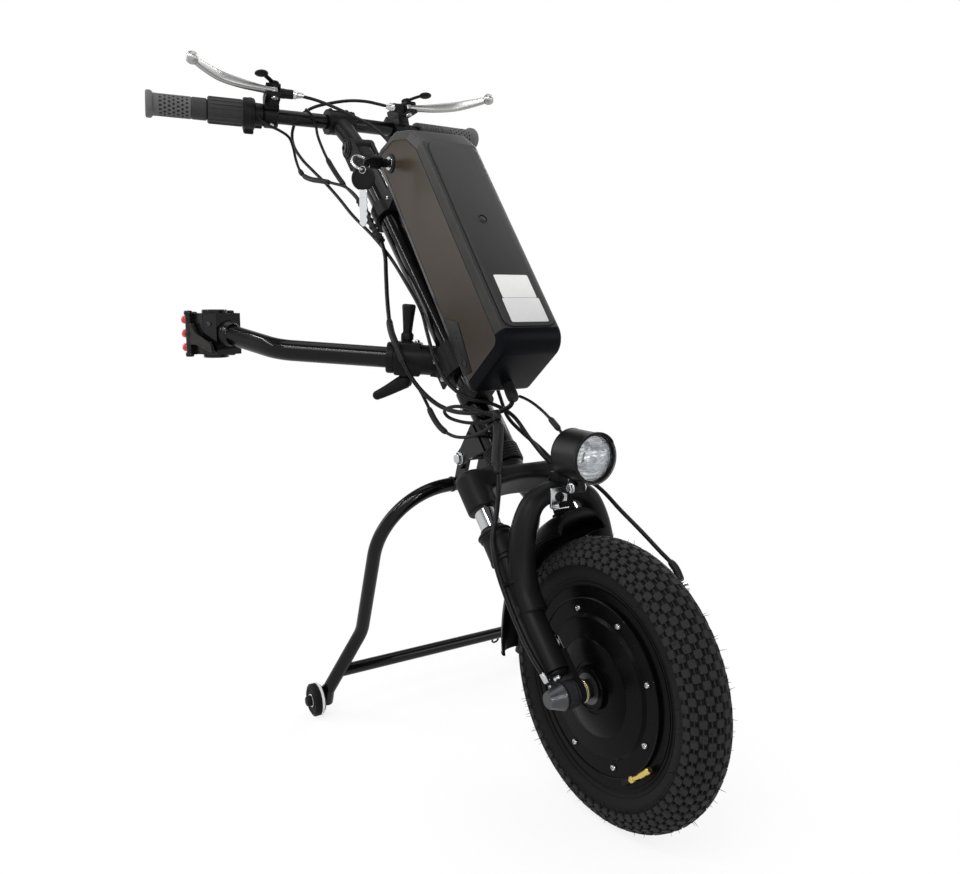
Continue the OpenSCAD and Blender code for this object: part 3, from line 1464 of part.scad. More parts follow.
tyre();
inner_tube();
hub_rim();
motor_cover_right();
motor_cover_left();
hub_bearings();
brake_disc();
tyre_valve();
axle();
motor_stator();
fork_sliders();
fork_arch();
mudguard();
headlight_bracket();
brake_caliper();
caliper_arm();
fork_springs();
headlight_shell();
headlight_lens();
fork_crown();
stanchions();
steerer_tube();
stem_base();
stem_arm();
handlebar_tube();
grips();
throttle_sleeve();
lever_perches();
brake_lever_right();
brake_lever_left();
park_latch_right();
park_latch_left();
column_tube();
headset();
battery_dock();
arm_bracket();
stand_bracket();
battery_case();
battery_cover();
battery_cells();
key_lock();
ignition_key();
spare_key();
arm_right();
arm_left();
clamp_jaw_right();
clamp_jaw_left();
clamp_lever_right();
clamp_lever_left();
lock_handle_right();
lock_handle_left();
wing_knob_right();
wing_knob_left();
stand_frame();
stand_wheel_right();
stand_wheel_left();
brake_cables();
control_loom();
motor_cable();
headlight_lead();
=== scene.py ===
"""Looks of a clip-on wheelchair power assist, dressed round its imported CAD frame."""
import random
from math import copysign, cos, hypot, pi, radians, sin, sqrt

import bmesh
import bpy
from mathutils import Matrix, Vector


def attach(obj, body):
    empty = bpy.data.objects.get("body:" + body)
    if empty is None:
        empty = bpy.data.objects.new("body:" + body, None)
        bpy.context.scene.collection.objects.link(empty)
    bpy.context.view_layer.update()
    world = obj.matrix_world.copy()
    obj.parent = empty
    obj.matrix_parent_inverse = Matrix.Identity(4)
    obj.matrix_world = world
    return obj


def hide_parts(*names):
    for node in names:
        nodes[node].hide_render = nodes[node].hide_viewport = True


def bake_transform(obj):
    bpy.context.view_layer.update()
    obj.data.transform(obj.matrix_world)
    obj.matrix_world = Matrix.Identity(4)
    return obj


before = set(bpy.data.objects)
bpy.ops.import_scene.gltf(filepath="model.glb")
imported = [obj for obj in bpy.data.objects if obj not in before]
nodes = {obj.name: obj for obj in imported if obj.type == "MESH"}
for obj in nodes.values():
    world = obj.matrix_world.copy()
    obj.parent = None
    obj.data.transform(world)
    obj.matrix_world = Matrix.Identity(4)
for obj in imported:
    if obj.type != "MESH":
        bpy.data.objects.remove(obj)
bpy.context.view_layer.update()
scene = bpy.context.scene
MM = 0.001

# Sizes in millimetres and degrees, repeated from the CAD source
ORIGIN_X = 304.555
TYRE_R = 158.5
SECTION_C = 130.0
RAKE = 43.6
OFFSET = 8.0
LEG_Y = 65.0
COLUMN_S = 302.8
BAR_C = Vector((-691.019, 0, 847.319))
STEM_P = Vector((-618.934, 0, 796.844))
STEM_CLIMB = 35
ARM_ROOT = Vector((-355.812, 0, 483.785))
CLAMP_AT = Vector((-594.167, 242.609, 518.805))
CLAMP_TURN = 155.565
BAR_SWEEP, BAR_RISE = 13, 2
ARM_SPLAY, ARM_RISE = 33, 4
BATTERY_LEAN, STAND_LEAN = 5, 20
STAND_P = Vector((-280.611, 0, 363.266))
LIGHT_P = Vector((-69.025, 0, 360.591))


# FRAMES: the CAD modules' own placements, as matrices
def T(x, y=0, z=0):
    return Matrix.Translation((x, y, z))


def R(axis, degrees):
    return Matrix.Rotation(radians(degrees), 4, axis)


IDENT = Matrix.Identity(4)
FLIP_Y = Matrix.Diagonal((1, -1, 1, 1))
FLIP_Z = Matrix.Diagonal((1, 1, -1, 1))
ENDS = (IDENT, FLIP_Z)
SIDES = (("left", IDENT), ("right", FLIP_Y))
PLACE = T(ORIGIN_X)
WHEEL = PLACE @ T(0, 0, TYRE_R)
SPIN = WHEEL @ R("X", 90)
AXIS = WHEEL @ R("Y", -RAKE)
COLUMN = AXIS @ T(-OFFSET)
BATTERY = COLUMN @ T(46, 0, COLUMN_S + 64) @ R("Y", BATTERY_LEAN)
LOCK = BATTERY @ T(32, -45, 356) @ R("X", 90)
LIGHT = PLACE @ T(*LIGHT_P)
BAR_MIDDLE = PLACE @ T(*BAR_C)
BAR = BAR_MIDDLE @ T(0, 40, 0) @ R("Z", BAR_SWEEP) @ R("X", BAR_RISE - 90)
LEVER = BAR @ R("Z", -14) @ T(42, -20, 69)
STEM = PLACE @ T(*STEM_P)
ARM = PLACE @ T(*ARM_ROOT) @ R("Z", ARM_SPLAY) @ R("X", ARM_RISE - 90)
CLAMP = PLACE @ T(*CLAMP_AT) @ R("Z", CLAMP_TURN) @ FLIP_Y
STAND = PLACE @ T(*STAND_P) @ R("Y", STAND_LEAN)
ALONG_Y = R("X", -90)
ALONG_X = R("Y", 90)


# FORMS: each returns points and faces in millimetres
def circle(n):
    return [(cos(2 * pi * k / n), sin(2 * pi * k / n)) for k in range(n)]


def bands(rows, n):
    """The faces between rows of n points, each row closed on itself."""
    return [[i * n + k, i * n + (k + 1) % n, (i + 1) * n + (k + 1) % n, (i + 1) * n + k]
            for i in range(rows - 1) for k in range(n)]


def lathe(profile, n=48, loop=False):
    """A profile of (radius, height) turned about Z."""
    verts, rings = [], []
    for r, z in profile:
        start = len(verts)
        verts += [(0, 0, z)] if r < 1e-6 else [(r * c, r * s, z) for c, s in circle(n)]
        rings.append(list(range(start, len(verts))))
    pairs = list(zip(rings, rings[1:]))
    if loop:
        pairs.append((rings[-1], rings[0]))
    faces = []
    for a, b in pairs:
        for k in range(n):
            j = (k + 1) % n
            corners = (a[k % len(a)], a[j % len(a)], b[j % len(b)], b[k % len(b)])
            face = list(dict.fromkeys(corners))
            if len(face) > 2:
                faces.append(face)
    return verts, faces


def tube(r, z0, z1, edge=0.6, n=40):
    """A solid round bar along Z with eased edges."""
    return lathe([(0, z0), (r - edge, z0), (r, z0 + edge), (r, z1 - edge), (r - edge, z1), (0, z1)], n)


def ring(ro, ri, z0, z1, edge=0.4, n=48):
    return lathe([(ri, z0), (ro - edge, z0), (ro, z0 + edge), (ro, z1 - edge), (ro - edge, z1), (ri, z1)], n, True)


def torus(big, small, n=48, m=12):
    return lathe([(big + small * c, small * s) for c, s in circle(m)], n, True)


def ball(r, n=32, m=16, half=None):
    """A ball about Z, or one with its own half height."""
    return lathe([(r * sin(pi * k / m), -(half or r) * cos(pi * k / m)) for k in range(m + 1)], n)


def hexagon(r, z0, z1):
    """A hexagon nut or head, its corners turned away."""
    c = r * 0.12
    return lathe([(0, z0), (r, z0), (r, z1 - c), (r * 0.86, z1), (0, z1)], 6)


def screw(r, h):
    """A round button head with a socket."""
    return lathe([(0, -1), (r, -1), (r, h * 0.35), (r * 0.8, h * 0.85), (r * 0.5, h), (r * 0.42, h),
                  (r * 0.42, h * 0.35), (0, h * 0.35)], 20)


def rounded_form(bm, edge, segments):
    """A bmesh with its edges rounded, as points and faces."""
    if edge > 0:
        bmesh.ops.bevel(bm, geom=bm.edges[:], offset=edge, segments=segments, affect="EDGES", profile=0.5)
    bm.verts.index_update()
    made = ([v.co.copy() for v in bm.verts], [[v.index for v in f.verts] for f in bm.faces])
    bm.free()
    return made


def block(x, y, z, edge=1, segments=3):
    """A box between two limits on each axis, its edges rounded."""
    bm = bmesh.new()
    bmesh.ops.create_cube(bm, size=1)
    for v in bm.verts:
        for i, lim in enumerate((x, y, z)):
            v.co[i] = (lim[0] + lim[1]) / 2 + v.co[i] * (lim[1] - lim[0])
    return rounded_form(bm, edge, segments)


def plate(outline, z0, z1, edge=0.8, segments=2):
    """A flat outline drawn up along Z, its edges rounded."""
    bm, n = bmesh.new(), len(outline)
    verts = [bm.verts.new((x, y, z)) for z in (z0, z1) for x, y in outline]
    for face in bands(2, n) + [list(range(n))[::-1], list(range(n, 2 * n))]:
        bm.faces.new([verts[i] for i in face])
    bmesh.ops.recalc_face_normals(bm, faces=bm.faces[:])
    return rounded_form(bm, edge, segments)


def rounded(x0, x1, y0, y1, r, n=8):
    """The outline of a rectangle with round corners."""
    out = []
    for cx, cy, a0 in ((x1 - r, y1 - r, 0), (x0 + r, y1 - r, 90), (x0 + r, y0 + r, 180), (x1 - r, y0 + r, 270)):
        for k in range(n + 1):
            a = radians(a0 + 90 * k / n)
            out.append((cx + r * cos(a), cy + r * sin(a)))
    return out


def smooth(points, steps):
    """Catmull-Rom points through the given ones."""
    pts = [Vector(p) for p in points]
    out = []
    for i in range(len(pts) - 1):
        a, b, c, d = (pts[max(0, min(len(pts) - 1, k))] for k in (i - 1, i, i + 1, i + 2))
        for k in range(steps):
            t = k / steps
            out.append(b + (c - a) * t / 2 + (2 * a - 5 * b + 4 * c - d) * t * t / 2
                       + (3 * b - a - 3 * c + d) * t ** 3 / 2)
    return out + [pts[-1]]


def sides_of(points, start):
    """For each point its heading and two side vectors, carried along without twist."""
    n = len(points)
    found, a = [], Vector(start)
    for i in range(n):
        t = (points[min(n - 1, i + 1)] - points[max(0, i - 1)]).normalized()
        a = (a - t * a.dot(t)).normalized()
        found.append((t, a.copy(), t.cross(a)))
    return found


def sector(profile, a0, a1, n=36):
    """A closed profile of (radius, height) turned about Z from one angle to another."""
    verts, m = [], len(profile)
    for k in range(n + 1):
        a = radians(a0 + (a1 - a0) * k / n)
        verts += [(r * cos(a), r * sin(a), z) for r, z in profile]
    return verts, bands(n + 1, m) + [list(range(m))[::-1], [n * m + i for i in range(m)]]


ANY_SIDE = (0.4, 0.2, 0.9)


def sweep(points, radii, n=14, start=ANY_SIDE, sides=None, square=1):
    """A bar along points. radii is one radius for all of it, or a list; a pair makes an oval.
    square under 1 fills the corners."""
    points = [Vector(p) for p in points]
    radii = radii if isinstance(radii, list) else [radii] * len(points)
    verts = []
    for p, rr, (_, a, b) in zip(points, radii, sides or sides_of(points, start)):
        ra, rb = rr if isinstance(rr, tuple) else (rr, rr)
        for c, s in circle(n):
            verts.append(p + a * ra * copysign(abs(c) ** square, c) + b * rb * copysign(abs(s) ** square, s))
    last = (len(points) - 1) * n
    return verts, bands(len(points), n) + [list(range(n))[::-1], list(range(last, last + n))]


def linked(name, data):
    """A new object in the scene."""
    obj = bpy.data.objects.new(name, data)
    scene.collection.objects.link(obj)
    return obj


def cast(obj, voxel, passes):
    """Melts a piece's forms into one skin with filleted corners."""
    skin = obj.modifiers.new("skin", "REMESH")
    skin.mode = "VOXEL"
    skin.voxel_size = voxel * MM
    ease = obj.modifiers.new("ease", "SMOOTH")
    ease.factor, ease.iterations = 0.5, passes
    old = obj.data
    mesh = bpy.data.meshes.new_from_object(obj.evaluated_get(bpy.context.evaluated_depsgraph_get()))
    obj.modifiers.clear()
    obj.data = mesh
    bpy.data.meshes.remove(old)
    mesh.name = obj.name
    mesh.shade_smooth()


class Build:
    """Gathers forms, in millimetres, into one object."""

    def __init__(self):
        self.verts, self.faces, self.index = [], [], []

    def add(self, form, at=IDENT, mat=0):
        """Adds a form at a place, in one material or in a list with one for each face."""
        base = len(self.verts)
        flipped = at.determinant() < 0
        self.verts += [at @ Vector(p) for p in form[0]]
        for k, f in enumerate(form[1]):
            self.faces.append([base + i for i in (reversed(f) if flipped else f)])
            self.index.append(mat[k] if isinstance(mat, list) else mat)
        return self

    def make(self, name, body, mats, slot, replaces=(), angle=38, ride=True, melt=None):
        """The object, smooth up to an angle, on its body."""
        mesh = bpy.data.meshes.new(name)
        mesh.from_pydata([tuple(v * MM) for v in self.verts], [], self.faces)
        for m in mats:
            mesh.materials.append(m)
        mesh.polygons.foreach_set("material_index", self.index)
        bm = bmesh.new()
        bm.from_mesh(mesh)
        bmesh.ops.recalc_face_normals(bm, faces=bm.faces[:])
        bm.to_mesh(mesh)
        bm.free()
        mesh.shade_smooth()
        mesh.set_sharp_from_angle(angle=radians(angle))
        obj = linked(name, mesh)
        if melt:
            cast(obj, *melt)
        if ride:
            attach(obj, body)
        if replaces:
            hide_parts(*replaces)
        return obj


# CAMERA: solved on the photograph, with no shift
PHOTO_WIDTH, FOCAL_PIXELS, SENSOR = 960, 887.57, 36.0
AZIMUTH, PITCH = 1.00331, 0.155962
CAMERA_AT = Vector((689.815 + ORIGIN_X, -610.994, 569.798))
cam_data = bpy.data.cameras.new("camera")
cam_data.sensor_fit = "HORIZONTAL"
cam_data.sensor_width = SENSOR
cam_data.lens = FOCAL_PIXELS / PHOTO_WIDTH * SENSOR
cam_data.clip_start, cam_data.clip_end = 0.02, 60
cam = linked("camera", cam_data)
look = Vector((-sin(AZIMUTH) * cos(PITCH), cos(AZIMUTH) * cos(PITCH), -sin(PITCH)))
cam.location = CAMERA_AT * MM
cam.rotation_mode = "QUATERNION"
cam.rotation_quaternion = look.to_track_quat("-Z", "Y")
scene.camera = cam

# STAGE: pale floor, soft lamps and a white surround
FLOOR_HALF, FLOOR_Z = 12, -0.0005
PURE_WHITE, DARK_SKY = (1, 1, 1, 1), (0.12, 0.12, 0.13, 1)
scene.view_settings.view_transform = "Standard"


def nodes_of(owner):
    """Empties an owner's node tree. Returns a function that adds a node to it and gives the node's output."""
    owner.use_nodes = True
    tree = owner.node_tree
    tree.nodes.clear()

    def node(kind, inputs=None, output=0, operation=None, data_type=None, stops=()):
        made = tree.nodes.new("ShaderNode" + kind)
        if operation:
            made.operation = operation
        if data_type:
            made.data_type = data_type
        for i, (place, color) in enumerate(stops):
            made.color_ramp.elements[i].position = place
            made.color_ramp.elements[i].color = color
        for key, value in (inputs or {}).items():
            if isinstance(value, bpy.types.NodeSocket):
                tree.links.new(value, made.inputs[key])
            else:
                made.inputs[key].default_value = value
        return made.outputs[output] if made.outputs else None
    return node


def seen_directly(node):
    """1 for camera, glossy and transmission rays."""
    seen = node("LightPath", output="Is Camera Ray")
    for name in ("Is Glossy Ray", "Is Transmission Ray"):
        seen = node("Math", {0: seen, 1: node("LightPath", output=name)}, operation="MAXIMUM")
    return seen


world = bpy.data.worlds.new("surround")
scene.world = world
node = nodes_of(world)
up = node("SeparateXYZ", {0: node("TexCoord", output="Generated")}, "Z")
sky = node("ValToRGB", {0: up}, stops=((0.32, PURE_WHITE), (0.75, DARK_SKY)))
dim = node("Background", {"Color": PURE_WHITE, "Strength": 0.3})
bright = node("Background", {"Color": sky, "Strength": 1})
node("OutputWorld", {0: node("MixShader", {0: seen_directly(node), 1: dim, 2: bright})})

corners = [(x * FLOOR_HALF, y * FLOOR_HALF, FLOOR_Z) for x, y in ((-1, -1), (1, -1), (1, 1), (-1, 1))]
floor_mesh = bpy.data.meshes.new("floor")
floor_mesh.from_pydata(corners, [], [[0, 1, 2, 3]])
floor = linked("floor", floor_mesh)
floor_mat = bpy.data.materials.new("floor_white")
node = nodes_of(floor_mat)
far = node("VectorMath", {0: node("TexCoord", output="Object")}, "Value", "LENGTH")
fade = node("MapRange", {"Value": far, "From Min": 0.5, "From Max": 1.3, "To Min": 0.84, "To Max": 1})
share = node("Math", {0: seen_directly(node), 1: fade}, operation="MULTIPLY")
dull = node("BsdfDiffuse", {"Color": (0.9, 0.9, 0.9, 1)})
glow = node("Emission", {"Strength": 1})
node("OutputMaterial", {0: node("MixShader", {0: share, 1: dull, 2: glow})})
floor_mesh.materials.append(floor_mat)


def lamp(name, place, aim, size, power, along=None):
    """An area lamp that faces its aim; along gives the heading of its second side."""
    data = bpy.data.lights.new(name, "AREA")
    data.shape = "RECTANGLE"
    data.size, data.size_y = size
    data.energy = power
    obj = linked(name, data)
    obj.location = place
    obj.rotation_mode = "QUATERNION"
    z = Vector(place) - Vector(aim)
    obj.rotation_quaternion = (-z).to_track_quat("-Z", "Y")
    if along:
        z.normalize()
        y = (Vector(along) - z * z.dot(Vector(along))).normalized()
        obj.rotation_quaternion = Matrix((y.cross(z), y, z)).transposed().to_quaternion()


lamp("key", (1.6, -1.9, 2.6), (0, 0, 0.4), (1.6, 1.2), 34)
lamp("side", (-1.9, -1.7, 1.5), (-0.1, 0, 0.5), (0.7, 1.8), 18)
lamp("fill", (2.2, 1.8, 1.2), (0, 0, 0.4), (1.4, 1.4), 15)
lamp("top", (-0.2, 0.3, 2.8), (0, 0, 0.3), (2, 2), 22)
lamp("back", (-1.2, 2.2, 1.6), (0, 0, 0.5), (1.6, 1.6), 16)
lamp("strip_high", (0.9, -1.5, 2.4), (-0.1, 0, 0.4), (1.5, 0.025), 13)
lamp("strip_low", (2.3, -0.5, 1.3), (0, 0, 0.4), (0.025, 1.2), 9)
lamp("strip_far", (-0.6, 1.9, 2.3), (-0.1, 0, 0.4), (1.5, 0.025), 9)
lamp("strip_side", (-0.52, -1.07, 1.585), (-0.125, 0, 0.61), (0.03, 1.4), 6, along=(-0.709, 0, 0.705))

# MATERIALS: procedural surfaces, and the one that each CAD piece wears
GRAIN_DEPTH = 0.0002
# Shares of the random clouds and of the painted shade height gradient in a tint
CLOUD_SHARE, PAINTED_SHADE_SHARE = 0.35, 0.65


def material(name, color, rough, metal=0, vary=0.18, scale=60, spread=0.08, bump=0.04, grain=900, coat=0,
             coat_rough=0.08, spec=0.5, stretch=(1, 1, 1), through=0, ior=1.45, painted_shade_span=None):
    """A surface with clouds of colour and gloss and a fine grain. Between two given heights it grows paler: painted
    shade low down and painted light higher up.
    """
    mat = bpy.data.materials.new(name)
    node = nodes_of(mat)
    coord = node("TexCoord", output="Object")
    where = node("Mapping", {"Vector": coord, "Scale": stretch})
    cloud = node("TexNoise", {"Vector": where, "Scale": scale, "Detail": 5}, "Fac")
    fine = node("TexNoise", {"Vector": where, "Scale": grain, "Detail": 3}, "Fac")
    share = cloud
    # Painted shade: the tint darkens towards the lower height and pales towards the upper one.
    if painted_shade_span:
        height = node("SeparateXYZ", {0: coord}, "Z")
        painted_shade_climb = node("MapRange", {"Value": height, "From Min": painted_shade_span[0], "From Max": painted_shade_span[1]})
        part = node("Math", {0: cloud, 1: CLOUD_SHARE}, operation="MULTIPLY")
        share = node("Math", {0: painted_shade_climb, 1: PAINTED_SHADE_SHARE, 2: part}, operation="MULTIPLY_ADD")
    tint = node("Mix", {"Factor": share, "A": (*[c * (1 - vary) for c in color], 1),
                        "B": (*[min(1, c * (1 + vary)) for c in color], 1)}, "Result", data_type="RGBA")
    gloss = node("MapRange", {"Value": cloud, "To Min": max(0.02, rough - spread), "To Max": min(1, rough + spread)})
    relief = node("Bump", {"Height": fine, "Strength": bump, "Distance": GRAIN_DEPTH})
    bsdf = node("BsdfPrincipled", {
        "Base Color": tint, "Roughness": gloss, "Normal": relief, "Metallic": metal, "Specular IOR Level": spec,
        "Coat Weight": coat, "Coat Roughness": coat_rough, "Transmission Weight": through, "IOR": ior})
    node("OutputMaterial", {0: bsdf})
    return mat


RUBBER = material("tyre_rubber", (0.005, 0.005, 0.0055), 0.62, vary=0.35, scale=90, bump=0.2, grain=1500, spec=0.12)
TREAD = material("tread_rubber", (0.019, 0.019, 0.0197), 0.7, vary=0.3, scale=160, bump=0.3, grain=1700, spec=0.12)
TUBE = material("tube_rubber", (0.012, 0.012, 0.012), 0.6, bump=0.1)
MOTOR = material("motor_paint", (0.0017, 0.0017, 0.002), 0.26, vary=0.2, bump=0.05, grain=1400, spec=0.4, ior=1.15)
GLOSS = material("frame_gloss", (0.0012, 0.0012, 0.0014), 0.3, vary=0.2, bump=0.02, grain=700, coat=0.3,
                 coat_rough=0.03, spec=0.3, ior=1.2)
SATIN = material("fork_satin", (0.0058, 0.0058, 0.0063), 0.42, vary=0.18, bump=0.06, grain=1600, spec=0.4, ior=1.22)
GUARD = material("guard_plastic", (0.0012, 0.0012, 0.0014), 0.32, bump=0.1, grain=1300, spec=0.4, ior=1.12)
TRIM = material("trim_plastic", (0.0042, 0.0042, 0.0045), 0.45, bump=0.12, grain=1500, spec=0.14)
GRIP = material("grip_rubber", (0.092, 0.092, 0.0925), 0.72, vary=0.15, bump=0.3, grain=1800, spec=0.2)
GRIP_END = material("grip_end", (0.105, 0.104, 0.103), 0.7, vary=0.12, bump=0.25, grain=1600, spec=0.2)
SLEEVE = material("sleeve_rubber", (0.03, 0.03, 0.0305), 0.5, bump=0.2, grain=1500, spec=0.3, ior=1.35)
# The battery side pales from 0.42 m up to 0.74 m: painted shade low on it, painted light high on it.
CASE_PAINTED_SHADE = material("battery_side_painted_shade", (0.031, 0.0235, 0.0165), 0.24, vary=0.42, scale=7, spread=0.06, bump=0.03,
                grain=1600, spec=0.4, ior=1.22, painted_shade_span=(0.42, 0.74))
BORDER = material("battery_border", (0.026, 0.0252, 0.0245), 0.34, vary=0.15, bump=0.05, grain=1500, spec=0.4,
                  ior=1.24)
COVER = material("battery_cover", (0.03, 0.0288, 0.0292), 0.4, vary=0.1, scale=20, bump=0.08, grain=1900, spec=0.4,
                 ior=1.24)
# Painted shade: a near-black blue for the battery's underside, much darker than its border.
UNDERSIDE_SHADE = material("battery_underside_painted_shade", (0.003, 0.0033, 0.0047), 0.34, vary=0.15, bump=0.04, grain=1500, spec=0.4, ior=1.13)
CELLS = material("cell_wrap", (0.05, 0.16, 0.31), 0.4)
ALLOY = material("lever_alloy", (0.34, 0.34, 0.335), 0.36, 1, vary=0.06, scale=60, spread=0.06, bump=0.01,
                 grain=300, stretch=(1, 0.2, 1))
ZINC = material("zinc_steel", (0.48, 0.49, 0.5), 0.24, 1, vary=0.12, scale=200, bump=0.04, grain=900)
CHROME = material("chrome", (0.5, 0.505, 0.51), 0.1, 1, vary=0.06, scale=150, spread=0.04, bump=0.01, grain=300)
DISC = material("disc_steel", (0.36, 0.37, 0.38), 0.3, 1, vary=0.12, scale=250, bump=0.06, grain=1100)
BRASS = material("brass", (0.62, 0.46, 0.12), 0.28, 1, vary=0.12, scale=200, bump=0.04)
GUNMETAL = material("axle_gunmetal", (0.058, 0.06, 0.064), 0.3, 0.7, vary=0.12, scale=150, bump=0.04, grain=900)
COPPER = material("winding", (0.36, 0.15, 0.06), 0.4, 0.6)
RED = material("cap_red", (0.5, 0.012, 0.016), 0.28, vary=0.12, bump=0.05, coat=0.3)
CABLE = material("cable_sheath", (0.0035, 0.0035, 0.004), 0.4, vary=0.2, bump=0.08, grain=1600, spec=0.18)
PLUG = material("plug_plastic", (0.0085, 0.0085, 0.009), 0.5, bump=0.1, grain=1700, spec=0.18)
WHITE = material("band_white", (0.6, 0.6, 0.59), 0.5, vary=0.06, scale=300, bump=0.08)
PALE = material("plate_pale", (0.5, 0.5, 0.505), 0.5, vary=0.06, scale=300, bump=0.08)
JAW = material("jaw_anodised", (0.0055, 0.0055, 0.006), 0.27, 0.1, vary=0.3, scale=300, bump=0.08, grain=1500,
               spec=0.4, coat=0.15, coat_rough=0.06, ior=1.3)
CAM = material("cam_lever", (0.021, 0.019, 0.0175), 0.5, 0.2, vary=0.25, scale=300, bump=0.12, grain=1500, spec=0.2)
LAMP_SHELL = material("lamp_shell", (0.004, 0.004, 0.0043), 0.36, bump=0.06, grain=1500, spec=0.16)
GLASS = material("lamp_lens", (0.96, 0.97, 0.98), 0.05, vary=0.02, spread=0.02, bump=0.05, grain=260, through=1,
                 ior=1.46)
SPARK = material("lamp_reflector", (0.7, 0.71, 0.72), 0.12, 1, vary=0.06, scale=200, spread=0.05, bump=0.05)

NODE_MATERIALS = (
    (RUBBER, "tyre stand_wheel_right stand_wheel_left"), (TUBE, "inner_tube"), (DISC, "brake_disc"),
    (MOTOR, "hub_rim motor_cover_right motor_cover_left"), (GUNMETAL, "hub_bearings axle"), (BRASS, "tyre_valve"),
    (COPPER, "motor_stator"), (GUARD, "mudguard"), (LAMP_SHELL, "headlight_shell"), (GLASS, "headlight_lens"),
    (SATIN, "fork_sliders fork_arch brake_caliper fork_crown stem_base stem_arm battery_dock arm_bracket"),
    (ZINC, "caliper_arm fork_springs steerer_tube key_lock spare_key"), (CHROME, "stanchions"), (GRIP, "grips"),
    (GLOSS, "handlebar_tube column_tube stand_bracket arm_right arm_left stand_frame"), (SLEEVE, "throttle_sleeve"),
    (TRIM, "headlight_bracket lever_perches park_latch_right park_latch_left headset ignition_key"
           " lock_handle_right lock_handle_left wing_knob_right wing_knob_left"),
    (ALLOY, "brake_lever_right brake_lever_left"), (CASE_PAINTED_SHADE, "battery_case"), (COVER, "battery_cover"),
    (CELLS, "battery_cells"), (JAW, "clamp_jaw_right clamp_jaw_left"), (CAM, "clamp_lever_right clamp_lever_left"),
    (CABLE, "brake_cables control_loom motor_cable headlight_lead"))
for mat, names in NODE_MATERIALS:
    for name in names.split():
        mesh = nodes[name].data
        mesh.materials.clear()
        mesh.materials.append(mat)

# CABLES: the CAD routes in the wheel's frame, each cut where one body takes over from the next
LEFT_BRAKE = [
    (-667.5, 80.5, 877), (-662, 56, 878), (-664, 34, 880), (-678, 12, 881), (-698, -12, 878),
    (-718, -34, 872), (-733, -52, 858), (-737, -62, 836), (-728, -64, 812), (-704, -60, 788),
    (-672, -54, 766), (-636, -48, 743), (-598, -44, 718), (-560, -39, 690), (-512, -30, 658),
    (-464, -27, 626), (-418, -28, 592), (-374, -28, 554), (-344, -35, 524), (-316, -40, 492),
    (-288, -37, 462), (-264, -22, 444), (-240, -2, 438), (-214, 14, 424), (-188, 23, 396),
    (-162, 30, 374), (-140, 34, 370)]
RIGHT_BRAKE = [
    (-667.5, -80.5, 877), (-660, -54, 872), (-646, -30, 862), (-624, -4, 846), (-600, 18, 828),
    (-572, 32, 800), (-545, 37, 765), (-515, 38, 722), (-480, 36, 676), (-440, 35, 628),
    (-400, 30, 582), (-364, 29, 540), (-332, 38, 504), (-300, 40, 468), (-274, 35, 440),
    (-246, 28, 418), (-214, 28, 402), (-182, 32, 387), (-152, 35, 372), (-114, 36, 367),
    (-76, 41, 353), (-46, 45, 334), (-18, 50, 316), (6, 56, 298), (26, 60, 284), (38, 58, 272)]
THROTTLE = [
    (-699.5, -137, 848), (-695, -128, 840), (-692, -116, 832), (-691, -100, 826), (-695, -84, 818),
    (-702, -75, 804), (-706, -70, 788), (-700, -67, 772), (-684, -66, 760), (-660, -63, 752),
    (-632, -58, 747), (-604, -50, 741), (-576, -43, 733), (-554, -38, 720), (-537, -35, 704)]
SWITCH = [
    (-668, -66, 858), (-672, -54, 850), (-678, -46, 838), (-676, -44, 822), (-662, -43, 802),
    (-644, -42, 782), (-618, -40, 758), (-590, -39, 738), (-560, -37, 720), (-537, -35, 704)]
BUNDLE = [(-546, -35, 712), (-530, -34, 697), (-508, -34, 674), (-490, -32, 657), (-482, -31, 649)]
LOOM = [
    (-484, -31, 651), (-468, -33, 628), (-452, -40, 602), (-434, -48, 572), (-416, -55, 546),
    (-394, -63, 526), (-374, -67, 510), (-356, -65, 486), (-343, -58, 463), (-328, -49, 445),
    (-306, -41, 432), (-280, -34, 426), (-254, -28, 426), (-230, -20, 428), (-210, -10, 431),
    (-196, -2, 440), (-195, 0, 451)]
LOOP = [
    (-343, -58, 463), (-337, -50, 448), (-331, -44, 432), (-318, -40, 412), (-300, -38, 400),
    (-276, -35, 394), (-250, -31, 396), (-226, -27, 404), (-206, -25, 414), (-193, -24, 424)]
SLACK = [
    (-194, -24, 426), (-214, -33, 419), (-238, -42, 417), (-260, -51, 421), (-258, -59, 431),
    (-236, -56, 438), (-212, -42, 436), (-195, -25, 427)]
MOTOR_RUN = [
    (28, -45, 258), (30, -56, 236), (26, -70, 208), (18, -81, 186), (14, -86, 166), (8, -87, 146),
    (4, -87, 120), (2, -87, 95), (2, -87, 70), (4, -87, 48), (6, -85.5, 30), (2, -81, 18)]
MOTOR_PLUG = [(-189.5, -25, 422.5), (-184, -28, 405), (-172, -38, 383), (-158, -46, 366)]
LIGHT_LEAD = [
    (-183, 2, 452), (-172, 3, 450), (-156, 3, 446), (-138, 2, 440), (-120, 1, 432), (-102, 0, 422),
    (-88, 0, 412.5)]
STEPS = 6


